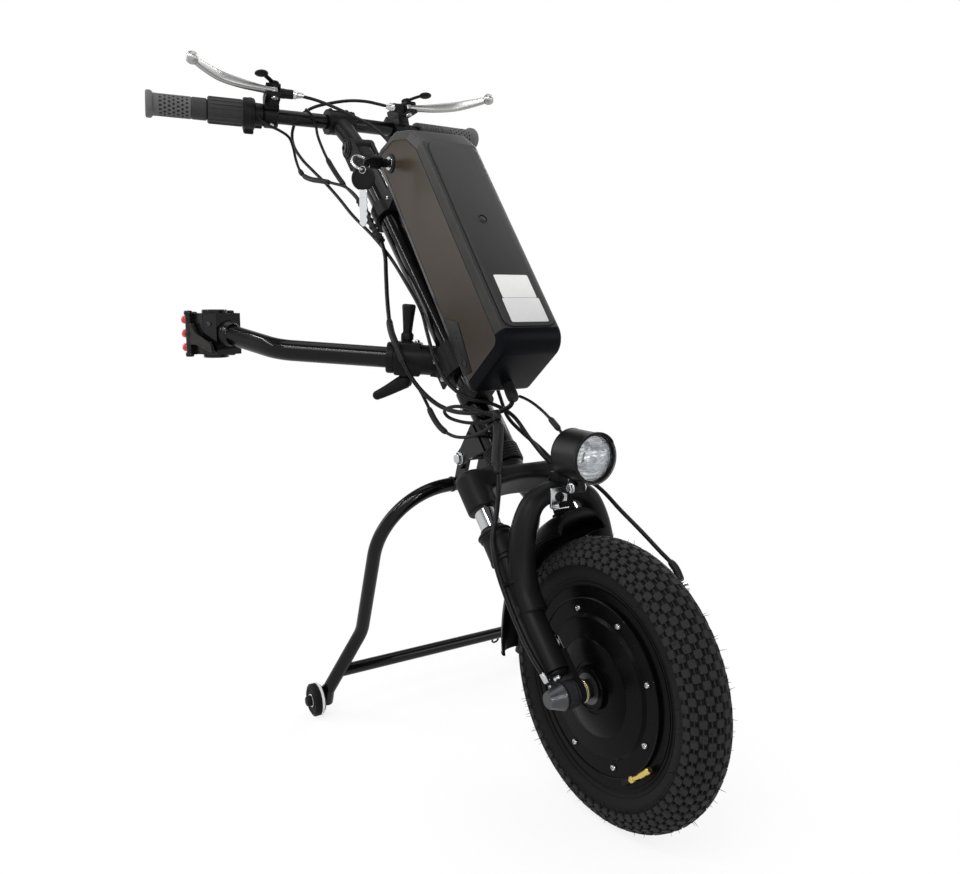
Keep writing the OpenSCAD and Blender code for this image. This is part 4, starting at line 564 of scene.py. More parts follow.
def cable(name, route, r, cuts, plugs=(), at=PLACE, replaces=()):
    """A cable in stretches. cuts gives (first point, last point, bodies); a stretch with one body rides it, one with
    two rides none and keeps its place.
    plugs gives (first point, last point, radius, material) of the sleeves on it, in parts of a point."""
    path = smooth(route, STEPS)
    sides = sides_of(path, ANY_SIDE)
    for i, (first, last, *bodies) in enumerate(cuts):
        a, b = round(first * STEPS), round(last * STEPS) + 1
        made = Build().add(sweep(path[a:b], r, 12, sides=sides[a:b]), at)
        for p0, p1, pr, mat in plugs:
            if first <= (p0 + p1) / 2 <= last:
                k0, k1 = round(p0 * STEPS), round(p1 * STEPS) + 1
                inner = [pr] * (k1 - k0)
                inner[0] = inner[-1] = (pr + r) / 2
                made.add(sweep(path[k0:k1], inner, 16, sides=sides[k0:k1]), at, mat)
        obj = made.make(f"{name}_{i + 1}" if len(cuts) > 1 else name, bodies[0], [CABLE, PLUG, ZINC], "cable_black",
                        () if i else replaces, ride=len(bodies) == 1)
        if len(bodies) == 2:
            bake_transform(obj)


cable("brake_cable_left", LEFT_BRAKE, 2.5,
      [(0, 5, "handlebar"), (5, 9, "handlebar", "steering"), (9, 15, "steering", "frame"), (15, 21, "frame"),
       (21, 24, "frame", "steering"), (24, 26, "steering", "lowers")], replaces=["brake_cables"])
cable("brake_cable_right", RIGHT_BRAKE, 2.5,
      [(0, 3, "handlebar", "steering"), (3, 9, "steering", "frame"), (9, 13, "frame"),
       (13, 17, "frame", "steering"), (17, 19, "steering", "lowers"), (19, 25, "lowers")],
      plugs=[(18, 18.9, 7, 1), (23.7, 25, 4.2, 1), (24.4, 25, 3, 2)])
cable("throttle_lead", THROTTLE, 2.2, [(0, 8, "handlebar", "steering"), (8, 14, "steering", "frame")],
      plugs=[(7.2, 7.9, 4, 1), (8, 10.6, 4, 1)], replaces=["control_loom"])
cable("switch_lead", SWITCH, 2.2, [(0, 5, "handlebar", "steering"), (5, 9, "steering", "frame")],
      plugs=[(5, 7, 4, 1)])
cable("loom", LOOM, 3, [(0, 16, "frame")], plugs=[(4.3, 7, 4.7, 1)])
cable("loom_loop", LOOP, 2.2, [(0, 9, "frame")], plugs=[(2.4, 4.3, 4, 1)])
cable("loom_slack", SLACK, 2.2, [(0, 7, "frame")])
cable("motor_lead", MOTOR_RUN, 3, [(0, 2, "steering", "lowers"), (2, 11, "lowers")],
      plugs=[(10.2, 11, 3.6, 2)], at=AXIS, replaces=["motor_cable"])
cable("light_lead", LIGHT_LEAD, 1.8,
      [(0, 4, "frame", "steering"), (4, 5, "steering", "lowers"), (5, 6, "lowers", "headlight")],
      plugs=[(4, 5, 3.6, 1)], replaces=["headlight_lead"])
bundle = smooth(BUNDLE, 8)
wide = [6 * (0.8 + 0.2 * sin(k * 1.9)) for k in range(len(bundle))]
wide[0] = wide[-1] = 3.4
Build().add(sweep(bundle, wide, 16), PLACE).make("loom_tape", "frame", [PLUG], "cable_black")
plug = smooth(MOTOR_PLUG, 8)
wide = [6.5 if 0.08 < k / (len(plug) - 1) < 0.8 else 4.4 for k in range(len(plug))]
wide[0], wide[-1] = 3.4, 3.2
Build().add(sweep(plug, wide, 20), PLACE).make("motor_plug", "frame", [PLUG], "cable_black", ride=False)
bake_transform(bpy.data.objects["motor_plug"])
foot = Build().add(sweep(smooth([(-191, 0, 446), (-206.2, 0, 464.8)], 6), [5, 7, 7.4, 7.4, 7, 7, 7], 20), PLACE)
foot.add(sweep(smooth([(-198, -23, 434), (-191, -24.5, 424.5)], 4), [4, 5.4, 5.6, 5.4, 4], 16), PLACE)
foot.make("loom_foot", "frame", [PLUG], "cable_black")

# TYRE: carcass, a chequerboard of notched blocks joined by thin ribs, shoulder fins and vent hairs
BLOCKS, ROWS, HAIRS = 66, 5, 380
FIRST_ROW, ROW_STEP, FIN_ROW = 0.165, 0.305, 1.66
BASE, TOP = 25.2, 28.45
PITCH_ANGLE = 2 * pi / BLOCKS
BEAD = [(109.5, 20.6), (106, 19.4), (103, 17.4)]
LINING = [(104.5, 13), (112, 15.5), (122, 20.5), (130, 22), (145.5, 15.5)]


def on_tyre(psi, phi, rho):
    far = SECTION_C + rho * cos(phi)
    return Vector((far * cos(psi), far * sin(psi), rho * sin(phi)))


def on_tread(psi, phi, outline, low, high, shrink=0.95):
    """A block with the given outline, in millimetres along and across the tread."""
    verts, n = [], len(outline)
    for rho, k in ((low, 1.04), (high - 0.35, 1), (high, shrink)):
        far = SECTION_C + rho * cos(phi)
        verts += [on_tyre(psi + a * k / far, phi + b * k / rho, rho) for a, b in outline]
    return verts, [list(range(n))[::-1], [2 * n + i for i in range(n)]] + bands(3, n)


def oblong(a, b):
    return [(a, b), (-a, b), (-a, -b), (a, -b)]


def notched(a, b, c):
    """An oblong with square notches in its corners."""
    return [(a, b - c), (a - c, b - c), (a - c, b), (c - a, b), (c - a, b - c), (-a, b - c),
            (-a, c - b), (c - a, c - b), (c - a, -b), (a - c, -b), (a - c, c - b), (a, c - b)]


outside = []  # thicker below the shoulders
for k in range(-18, 19):
    phi = radians(k * 7.2)
    rho = BASE + 1.6 * max(0, (abs(phi) - 1.15)) / 1.1
    outside.append((SECTION_C + rho * cos(phi), rho * sin(phi)))
carcass = [(r, -z) for r, z in BEAD[::-1]] + outside + BEAD
carcass += LINING + [(152, 0)] + [(r, -z) for r, z in LINING[::-1]]
tyre = Build().add(lathe(carcass, 128, True), SPIN)
for big, up in ((116, 22.9), (110.5, 21.4)):
    for side in (1, -1):
        tyre.add(torus(big, 0.7, 128, 8), SPIN @ T(0, 0, up * side))
knob, rib, fin = notched(4.1, 3.9, 0.55), oblong(4, 0.6), oblong(0.75, 2.6)
for side in (-1, 1):
    for k in range(BLOCKS):
        psi = (k + 0.25 * side) * PITCH_ANGLE
        for row in range(ROWS):
            at, phi = psi + 0.5 * (row % 2) * PITCH_ANGLE, side * (FIRST_ROW + row * ROW_STEP)
            tyre.add(on_tread(at, phi, knob, BASE - 1, TOP - 0.1 * row, 0.96), SPIN, 1)
            tyre.add(on_tread(at + PITCH_ANGLE / 2, phi, rib, BASE - 1, TOP - 1), SPIN, 1)
        for j in (-1, 0, 1):
            tyre.add(on_tread(psi + j * 0.3 * PITCH_ANGLE, side * FIN_ROW, fin, BASE - 1, BASE + 1.1), SPIN)
random.seed(7)
for k in range(HAIRS):
    side = random.choice((-1, 1))
    psi = random.uniform(0, 2 * pi)
    phi = side * random.choice((random.uniform(0.2, 1.2), random.uniform(1.25, 1.75)))
    root = on_tyre(psi, phi, BASE)
    away = (on_tyre(psi, phi, TOP) - root).normalized()
    lean = Vector([random.uniform(-0.5, 0.5) for _ in range(3)])
    tip = root + (away + lean * 0.6).normalized() * random.uniform(5, 10.5)
    if (SPIN @ tip).z > 4:
        mid = (root + tip) / 2 + lean * 0.5
        tyre.add(sweep([root, mid, tip], [0.34, 0.28, 0.12], 5), SPIN)
tyre.make("tyre_tread", "wheel", [RUBBER, TREAD], "tyre_rubber", ["tyre"], angle=30)

# WHEEL DETAIL: the covers' screws and steps, and the bent valve
COVER_SCREWS, SCREW_R = 8, 84.4
COVER_STEPS = (
    ([(28, 29.2), (51, 27.9), (52.4, 28.6), (51.6, 29.3), (28, 30.7)], 96),
    ([(94.6, 23), (96.4, 23), (96.4, 24.6), (95.6, 25), (94.6, 24.6)], 96),
    ([(21, 34.5), (23.4, 34.5), (23.8, 35), (23.4, 35.8), (21, 35.8)], 64))
wheel = Build()
for end in ENDS:
    for k in range(COVER_SCREWS):
        turn = SPIN @ end @ R("Z", 22 + 360 / COVER_SCREWS * k)
        wheel.add(screw(3.4, 2.6), turn @ T(SCREW_R, 0, 24), 0)
        wheel.add(ring(4.6, 3, 23.8, 24.5), turn @ T(SCREW_R), 1)
    for profile, n in COVER_STEPS:
        wheel.add(lathe(profile, n, True), SPIN @ end, 1)
wheel.make("motor_trim", "wheel", [ZINC, MOTOR], "motor_black")
stem = smooth([(46.5, -21.5, 70.5), (58.2, -24, 78.9), (74, -26.2, 91.5), (89.4, -28, 106)], 8)
valve = Build().add(sweep(stem[7:], 2.6, 16), PLACE)
valve.add(sweep(stem[-9:], [3.3, 3.7, 3.3, 3.7, 3.3, 3.7, 3.7, 3.5, 2.4], 16), PLACE)
valve.add(sweep(stem[8:12], [3.5, 3.7, 3.7, 3.5], 6), PLACE)
valve.add(sweep(stem[:9], [4.6, 4.6, 4.4, 4.1, 3.8, 3.6, 3.4, 3.3, 3], 18), PLACE, 1)
valve.make("valve_stem", "wheel", [BRASS, RUBBER], "valve_brass")

# FORK: smooth arch and crown, washers, torque strap, seals and ties
ARCH_S, ARCH_REACH, ARCH_R = 209.5, 60, 12.5
# Shares of the half span, the height, the reach and the radius, from the foot to the middle
ARCH_SHARES = [(0.96, 0.44, 0.03, 1.42), (0.95, 0.56, 0.06, 1.38), (0.9, 0.7, 0.24, 1.3), (0.81, 0.845, 0.6, 1.2),
               (0.62, 0.945, 0.88, 1.08), (0.32, 0.99, 0.98, 1), (0, 1, 1, 1)]
CROWN_ROWS, CROWN_STEP, CROWN_EDGE = 53, 2.5, 7
CROWN_LOW, CROWN_HIGH, CROWN_ARC = 250.5, 278.5, 154.643
half_arch = [(c * ARCH_REACH, a * LEG_Y, b * ARCH_S) for a, b, c, _ in ARCH_SHARES]
arch_line = smooth(half_arch + [(x, -y, z) for x, y, z in half_arch[-2::-1]], 8)
thick = smooth([(row[3], 0, 0) for row in ARCH_SHARES + ARCH_SHARES[-2::-1]], 8)
radii = [ARCH_R * t.x for t in thick]
radii[0] = radii[-1] = radii[1] - 1.6
arch = Build().add(sweep(arch_line, radii, 36, (1, 0, 0)), AXIS)
for side in (-1, 1):
    arch.add(tube(7.5, 0, 5.5, 1.2), AXIS @ T(0, side * 62.4, 100) @ R("Z", 90 * side) @ ALONG_X @ T(0, 0, 13.6))
arch.make("arch_casting", "lowers", [SATIN], "fork_charcoal", ["fork_arch"])

verts = []
for i in range(CROWN_ROWS):
    y = CROWN_STEP * i - LEG_Y
    t = max(0, (abs(y) - 18.7) / 46.3)
    low = CROWN_LOW + max(0, CROWN_EDGE - CROWN_ARC + sqrt(CROWN_ARC ** 2 - y * y))
    verts += [(x, y, z) for x, z in rounded(7.7 * t - 26.7, 18.7 + 0.3 * t, low, CROWN_HIGH, CROWN_EDGE, 6)]
n = len(verts) // CROWN_ROWS
ends = [list(range(n)), list(range(len(verts) - n, len(verts)))]
crown = Build().add((verts, bands(CROWN_ROWS, n) + ends), AXIS)
for side in (-1, 1):
    crown.add(lathe([(0, 228.5), (17.8, 228.5), (19, 229.7), (19, 272.5), (17.6, 276.6), (13.8, 278.5),
                     (0, 278.5)], 64), AXIS @ T(0, side * LEG_Y, 0))
crown.add(lathe([(0, 262), (19.7, 262), (19.7, 289.3), (18.6, 290.5), (0, 290.5)], 64), COLUMN)
crown.make("crown_casting", "steering", [SATIN], "fork_charcoal", ["fork_crown"], melt=(1.4, 7))

strap = [(9 * cos(radians(200 + 14 * k)), 9 * sin(radians(200 + 14 * k))) for k in range(11)]
strap += [(8.2, 40), (6.5, 62), (0, 66), (-6.5, 62), (-8.6, 40)]
lowers = Build().add(plate(strap, 45, 47.6, 0.5), AXIS @ R("X", 90), 0)
lowers.add(hexagon(5.6, 46.5, 51.5), AXIS @ R("X", 90) @ T(-0.5, 57.4, 0), 0)
lowers.add(ring(10.5, 7.2, 35.4, 42), SPIN, 2)
lowers.add(ring(12.85, 7.2, 43, 44.5), SPIN, 1)
lowers.add(ring(12.85, 7.2, 44.9, 46.4), SPIN, 0)
for end in ENDS:
    lowers.add(ring(15, 14.3, 57.5, 59), SPIN @ end, 2)
    lowers.add(ring(15, 14.2, 69.5, 71.5), SPIN @ end, 2)
    lowers.add(ring(13.2, 9, 54.1, 55.4), SPIN @ end, 0)
for side in (-1, 1):
    leg = AXIS @ T(0, side * LEG_Y, 0)
    lowers.add(ring(17.9, 15.4, 160.5, 165.5, 0.8), leg, 2)
    lowers.add(torus(19, 1.3, 48, 10), leg @ T(0, 0, 196.5), 2)
    lowers.add(ring(14.6, 13.3, 198.6, 204, 0.6), leg, 2)
    lowers.add(tube(12.6, 20.5, 27, 2.4), leg, 3)
    lowers.add(screw(5, 3.5), leg @ T(0, 0, 20.6) @ R("X", 180), 0)
lowers.add(ring(17.2, 15.3, 130.2, 133.4, 0.5), AXIS @ T(0, -LEG_Y, 0), 2)
lowers.add(block((-2.5, 4.5), (-22, -15.5), (129.7, 133.9), 0.8), AXIS @ T(4, -LEG_Y, 0), 2)
lowers.make("fork_fittings", "lowers", [ZINC, BRASS, TRIM, SATIN], "zinc_steel")

# MUDGUARD: rolled edges and screws
GUARD_HALF, GUARD_EDGE_R, GUARD_C, GUARD_ARC = 31.9, 165.6, 157.83, 33.67
guard = Build()


def on_guard(g, r, y):
    g = radians(g)
    return Vector((r * sin(g), y, r * cos(g)))


for side in (-1, 1):
    edge = [on_guard(23.6 - 77.2 * k / 60, GUARD_EDGE_R, side * GUARD_HALF) for k in range(61)]
    guard.add(sweep(edge, 1.6, 10), AXIS)
for angle in (23.5, -53.5):
    across = [2 * GUARD_HALF * k / 24 - GUARD_HALF for k in range(25)]
    lip = [on_guard(angle, GUARD_C + sqrt(GUARD_ARC ** 2 - y * y) - 1.2, y) for y in across]
    guard.add(sweep(lip, 1.5, 10), AXIS)
for k in range(4):
    guard.add(screw(3.2, 2), AXIS @ R("Y", 15.98) @ T((k // 2) * 24 - 12, (-1) ** k * 6, 190.9))
guard.make("guard_trim", "lowers", [GUARD], "guard_plastic")

# HEADLIGHT: bezel, faceted reflector, ribbed lens, bracket plate and bolts
RIBS_HALF, RIB_STEP = 5, 4.2
HEAD = LIGHT @ T(-17.5, 0, 37.5) @ ALONG_X
visor = [(28.3 * cos(radians(126 + 4.5 * k)), 28.3 * sin(radians(126 + 4.5 * k)), 51.6 - 0.9 * (abs(k - 12) / 12) ** 2)
         for k in range(25)]
light = Build()
light.add(lathe([(27.8, 46.6), (28.3, 46.6), (28.9, 47.4), (28.9, 50.3), (28.5, 50.8), (28.1, 50.8), (27.8, 50.4)],
                80, True), HEAD, 0)
light.add(lathe([(25.7, 46.7), (26.3, 48), (27.2, 49.4), (27.9, 50.2), (27.9, 46.7)], 36, True), HEAD, 1)
light.add(sweep(visor, 1, 10), HEAD, 0)
light.add(ring(28.35, 27.6, 6.4, 7.6, 0.3, 72), HEAD, 0)
light.add(lathe([(0, 12.2), (5, 12.2), (5, 15), (3.6, 17.5), (0, 18.4)], 24), HEAD, 1)
light.add(ring(8.5, 3.8, 11.8, 13.4), HEAD, 2)
light.make("light_trim", "headlight", [LAMP_SHELL, WHITE, ZINC], "light_black")
bowl = Build().add(lathe([(24.9, 41.5), (23.6, 33), (20.6, 25.5), (16.2, 19), (10.6, 14.4), (6, 12.6)], 18), HEAD)
bowl.make("light_reflector", "headlight", [SPARK], "lens_clear", angle=4)
ribs = Build()
for k in range(-RIBS_HALF, RIBS_HALF + 1):
    x = k * RIB_STEP
    w = sqrt(max(1, 24.4 ** 2 - x ** 2))
    ribs.add(sweep([(x, -w, 43.4), (x, 0, 43.2), (x, w, 43.4)], 0.8, 8), HEAD)
ribs.make("lens_ribs", "headlight", [GLASS], "lens_clear")
mount = Build()
for side, flip in ((-1, FLIP_Y), (1, IDENT)):
    at = LIGHT @ flip @ ALONG_Y
    mount.add(ring(6.4, 3, 6.8, 7.9), at, 0)
    mount.add(hexagon(5.2, 7.8, 11.4), at, 0)
    mount.add(screw(3.4, 2.6), LIGHT @ T(-32, side * 4, 12.5), 1)
mount.add(block((-41, -22.6), (-8.6, 8.6), (-25.6, -22.8), 0.8), LIGHT, 1)
mount.add(block((-41.8, -39.2), (-8.6, 8.6), (-25, 6), 0.8), LIGHT, 1)
mount.add(hexagon(4.6, 0, 3.4), LIGHT @ T(-41.6, 0, 2) @ R("Y", -90), 1)
mount.add(block((-20.4, -17), (-22, 1), (-25, -2), 1), LIGHT, 0)
mount.add(block((-19.4, -11), (-21, 0), (-26.2, -23.8), 0.9), LIGHT, 0)
mount.add(block((-32, -18.6), (-6.4, 1), (-5, -2.2), 0.8), LIGHT, 0)
mount.add(lathe([(0, 0), (5.4, 0), (5.6, 0.6), (5, 2.8), (2.6, 3.2), (2.6, 1.4), (0, 1.4)], 28),
          LIGHT @ T(-17.2, -10.5, -12.5) @ ALONG_X, 1)
mount.make("light_bolts", "lowers", [ZINC, TRIM], "bracket_silver")

# BRAKE: caliper bolts, adjuster knob and the disc's rivets on the far side
brake = Build()
for v, s in ((14, 60), (10, 74)):
    brake.add(hexagon(5, 0, 4), AXIS @ T(v, 51, s) @ ALONG_Y, 0)
brake.add(lathe([(0, 0), (9, 0), (9.6, 1), (9.6, 5), (8.6, 6), (3.4, 6), (3.4, 4), (0, 4)], 10),
          AXIS @ T(76, 28.6, 5) @ R("X", 90), 1)
brake.add(block((63, 89), (50.6, 51.6), (-13, 23), 0.4), AXIS, 1)
brake.make("caliper_fittings", "lowers", [ZINC, TRIM], "zinc_steel")
RIVETS = 6
rivets = Build()
for k in range(RIVETS):
    turn = 360 / RIVETS * k
    rivets.add(screw(3.2, 1.8), SPIN @ FLIP_Z @ R("Z", turn + 30) @ T(18.5, 0, 41))
    rivets.add(screw(2.6, 1.2), SPIN @ FLIP_Z @ R("Z", turn) @ T(66, 0, 41))
rivets.make("disc_rivets", "wheel", [ZINC], "disc_steel")

# COLUMN: ribbed boot, collar bolts, dock rail edges and bracket bolts
BOOT_RIBS, BOOT_STEP = 6, 3.8
BOOT_RIB = [(20.6, 291.5), (22.3, 292.1), (22.9, 293.2), (22.3, 294.3), (20.6, 294.9)]
COLLARS = ((386.8, 15.5), (730.8, 18.5))
LOCK_S = 54
column = Build()
for k in range(BOOT_RIBS):
    column.add(lathe([(r, s + BOOT_STEP * k) for r, s in BOOT_RIB], 56, True), COLUMN, 0)
column.add(lathe([(15.4, 313.5), (19.6, 314.8), (18.4, 318.5), (16.6, 319.6), (15.4, 319.6)], 56, True), COLUMN, 0)
for s in (832.5, 840.5, 848.5):
    column.add(ring(22.6, 20, s, s + 4.6, 1.2, 56), COLUMN, 0)
column.add(ring(19.4, 18.3, 480.9, 486, 0.8), COLUMN, 0)
for s, r in COLLARS:
    for side in (-1, 1):
        ear = COLUMN @ T(-r - 6.4, 0, s + 12) @ R("X", -90 * side)
        column.add(hexagon(4.4, 8, 11.4), ear, 1)
        column.add(ring(5.4, 2, 7.8, 8.7), ear, 1)
        column.add(screw(3.2, 2.6), COLUMN @ T(r + 12, side * 13, s + 12) @ R("X", -90 * side), 1)
for side in (-1, 1):
    column.add(block((-25, 3), sorted((side * 20.6, side * 24.8)), (432.4, 481.2), 1.4), COLUMN, 2)
    for up in (441.5, 472):
        column.add(screw(4.6, 3.6), COLUMN @ T(-12, side * 24.9, up) @ R("X", -90 * side), 1)
    pin = COLUMN @ T(-54, 0, 341.8) @ R("X", -90 * side)
    column.add(ring(8.6, 4, 23, 24.6), pin, 1)
    column.add(hexagon(7.4, 24.5, 29.5), pin, 1)
    stud = ARM if side > 0 else FLIP_Y @ ARM
    column.add(ring(21.3, 20.2, 70, 79.4, 0.8, 64), stud, 2)
    column.add(block((-22.5, 15), (-22.6, 22.6), (33, 69), 3, 4), stud, 2)
    column.add(block((-22.9, 15.4), (-0.7, 0.7), (33.4, 68.6), 0.3), stud, 0)
    for up in (41, 61):
        column.add(screw(4.2, 3.4), stud @ T(-12.5, -22.6, up) @ R("X", 90), 1)
    for turn in (90, -90):
        column.add(ring(8.4, 6.9, 20.4, 24.6, 0.6), stud @ T(0, 0, LOCK_S) @ R("X", turn), 2)
column.make("column_fittings", "frame", [TRIM, ZINC, SATIN], "frame_black")

# HANDLEBAR: stem bolts, dimpled grips, throttle housing, perches, levers and latches
PIVOT_CAP = [(0, 19.9), (15.2, 19.9), (15.6, 20.6), (15.2, 21.4), (13, 21.6), (12.4, 20.8), (9.6, 20.8),
             (9.2, 21.8), (0, 21.8)]
PIVOT_HEAD = [(0, 21.6), (7.6, 21.6), (7.6, 25), (6.8, 25.8), (4.2, 25.8), (4.2, 22.8), (0, 22.8)]
FACING = BAR_MIDDLE @ R("Y", STEM_CLIMB - 90)
stem_parts, bar_parts = Build(), Build()
for side in (-1, 1):
    pivot = STEM @ R("X", -90 * side)
    stem_parts.add(lathe(PIVOT_CAP, 56), pivot, 0)
    stem_parts.add(lathe(PIVOT_HEAD, 6), pivot, 1)
    stem_parts.add(torus(9, 0.8, 40, 8), pivot @ T(0, 0, 22), 1)
    for up in (-1, 1):
        bar_parts.add(screw(3.6, 3.4), FACING @ T(up * 14.5, side * 14, 12), 1)
    bar_parts.add(ring(19.7, 18.9, 17.5, 21.4, 0.8, 56), BAR_MIDDLE @ R("X", -90 * side), 0)
stem_parts.make("stem_bolts", "steering", [SATIN, GUNMETAL], "zinc_steel")
bar_parts.add(block((-20.4, 20.4), (-22, 22), (-0.8, 0.8), 0.3), FACING, 2)
fillet = smooth([(0, 0, 10), (0, 0, 40), (0, 0, 62), (0, 0, 78)], 4)
bar_parts.add(sweep(fillet, [(13.4 + 0.05 * k, 14.6 + 0.3 * k) for k in range(len(fillet))], 32, (1, 0, 0)),
              STEM @ R("Y", STEM_CLIMB - 90), 0)
bar_parts.make("bar_clamp", "handlebar", [SATIN, ZINC, TRIM], "frame_black")

GRIP_R, GRIP_STEP, GRIP_SIDES, GRIP_LAST = 16.4, 0.9, 112, 243.5
RIBS_TO, SLEEVE_TO, FLARE_FROM = 164, 189, 238
RIB_PITCH, GROOVES = 6.2, ((165.5, 1), (188.5, 0.7))
DIMPLE_ROWS, DIMPLES, DIMPLE_FROM, DIMPLE_PITCH = 7, 16, 195, 6.3
DIMPLE_LONG, DIMPLE_WIDE, DIMPLE_DEEP = 2.5, 1.9, 1.3
GRIP_TIP = [(15, 242.8), (16.95, 243.3), (17.8, 244.6), (19.5, 245.8), (20, 247.2), (20, 251.4), (19.2, 253.2),
            (17.4, 254), (13, 254), (12.4, 253.2), (0, 253.2)]


def grip_form(start, ribbed):
    """A grip with ribs, grooves, rows of dimples and a flared end, and the material of each of its faces."""
    n = GRIP_SIDES
    heights = [start + GRIP_STEP * k for k in range(int((GRIP_LAST - start) / GRIP_STEP) + 1)]
    verts, dents = [], set()
    for z in heights:
        r = GRIP_R
        if z - start < 2.4:
            r = 15.2 + 1.2 * sin((z - start) / 2.4 * pi / 2)
        if ribbed and start + 5 < z < RIBS_TO:
            r = 15.6 + 1.0 * max(0, sin((z - start - 5) / RIB_PITCH * 2 * pi)) ** 0.6
        if any(abs(z - middle) < half for middle, half in GROOVES):
            r -= 0.9
        if z > FLARE_FROM:
            r += 0.5 * ((z - FLARE_FROM) / (GRIP_LAST - FLARE_FROM)) ** 2
        row = round((z - DIMPLE_FROM) / DIMPLE_PITCH)
        for k, (c, s) in enumerate(circle(n)):
            d = r
            if 0 <= row < DIMPLE_ROWS:
                u = (k / n * DIMPLES + 0.5 * (row % 2)) % 1
                across = (u - 0.5) / DIMPLES * 2 * pi * r
                far = hypot((z - DIMPLE_FROM - row * DIMPLE_PITCH) / DIMPLE_LONG, across / DIMPLE_WIDE)
                if far < 1:
                    d -= DIMPLE_DEEP * (1 - far * far) ** 0.6
                    dents.add(len(verts))
            verts.append((d * c, d * s, z))
    faces = bands(len(heights), n) + [list(range(n))[::-1]]
    tints = [3 if sum(i in dents for i in f) > 2 else 0 if verts[f[0]][2] > SLEEVE_TO else 2 for f in faces]
    return (verts, faces), tints


RIGHT_BAR = FLIP_Y @ BAR
grips = Build()
for start, ribbed, at in ((116, True, BAR), (165.3, False, RIGHT_BAR)):
    form, tints = grip_form(start, ribbed)
    grips.add(form, at, tints).add(lathe(GRIP_TIP, 96), at, 1)
grips.make("hand_grips", "handlebar", [GRIP, GRIP_END, SLEEVE, TRIM], "grip_rubber", ["grips"], angle=50)

housing = Build()
housing.add(lathe([(11.2, 94.8), (21, 94.8), (23.2, 96.2), (23.8, 98), (23.8, 110.4), (23.1, 112), (21.8, 112.8),
                   (11.2, 112.8)], 64, True), RIGHT_BAR, 0)
housing.add(lathe([(11.2, 82.4), (15.8, 82.4), (17, 83.6), (17.6, 95.2), (11.2, 95.2)], 56, True), RIGHT_BAR, 0)
housing.add(block((-9.5, 9.5), (17, 29), (96.2, 111.6), 2.6, 4), RIGHT_BAR @ R("Z", 24), 0)
housing.add(block((-6, 6), (12, 20), (83.5, 97), 2), RIGHT_BAR @ R("Z", 24), 0)
housing.add(ring(24, 23.2, 103.4, 104.8, 0.3, 64), RIGHT_BAR, 2)
for turn in (150, 262):
    housing.add(screw(3.4, 2.6), RIGHT_BAR @ R("Z", turn) @ T(23.4, 0, 100.6) @ ALONG_X, 1)
housing.make("throttle_housing", "handlebar", [TRIM, ZINC, PLUG], "trim_plastic")

BARREL = [(0, 6), (6.6, 6), (7.4, 6.8), (7.4, 16), (7, 16.6), (7, 27.4), (6.2, 28.6), (0, 28.6)]
ADJUSTER = [(0, 27.6), (5.9, 28.2), (6.3, 29), (6.3, 33.2), (5.6, 34), (5.2, 34.4), (5.2, 36), (4.7, 36.8),
            (3.5, 44), (3.1, 45), (0, 45)]
PIVOT_NUT = [(0, 9), (5.4, 9), (5.4, 11.2), (4.4, 12.2), (2.2, 12.2), (2.2, 10.8), (0, 10.8)]
neck = smooth([(-38, 17, 3), (-26, 11.5, 1.5), (-12, 3.5, -1)], 6)
perches = Build()
for name, flip in SIDES:
    F = flip @ LEVER
    barrel, band = F @ T(-4, 0, 0) @ FLIP_Z, F @ T(-42, 20, 0)
    perches.add(lathe(BARREL, 36), barrel, 0)
    perches.add(lathe(ADJUSTER, 28), barrel, 1)
    perches.add(block((-27, 3), (-9, 9), (-9.5, 4), 3.2, 4), F @ T(-4, 0.6, 0), 0)
    perches.add(sweep(neck, (9.6, 9), 24, (0, 0, 1), square=0.8), F, 0)
    for up in (-1, 1):
        perches.add(lathe(PIVOT_NUT, 28), F @ R("X", -90 * up), 1)
    perches.add(ring(18.6, 11.3, -9, 13, 2.4, 56), band, 0)
    perches.add(block((-7, 7), (15, 26), (-7, 11), 2.4, 4), band @ R("Z", 150), 0)
    perches.add(screw(3.8, 3), band @ T(0, 0, 2) @ R("Z", 150) @ T(7, 21, 0) @ ALONG_X, 1)
    perches.add(hexagon(4.6, 15.5, 20), band @ T(0, 0, 2) @ R("X", -90) @ R("Y", 20), 1)
    perches.add(block((-30, -10), (-10.4, -8.6), (-6, 10), 0.8), F, 0)
perches.make("perch_fittings", "handlebar", [TRIM, ZINC], "zinc_steel")

LEVER_OUT, LEVER_LONG, LATCH_TOP = 72.6, 120.9, -10.3
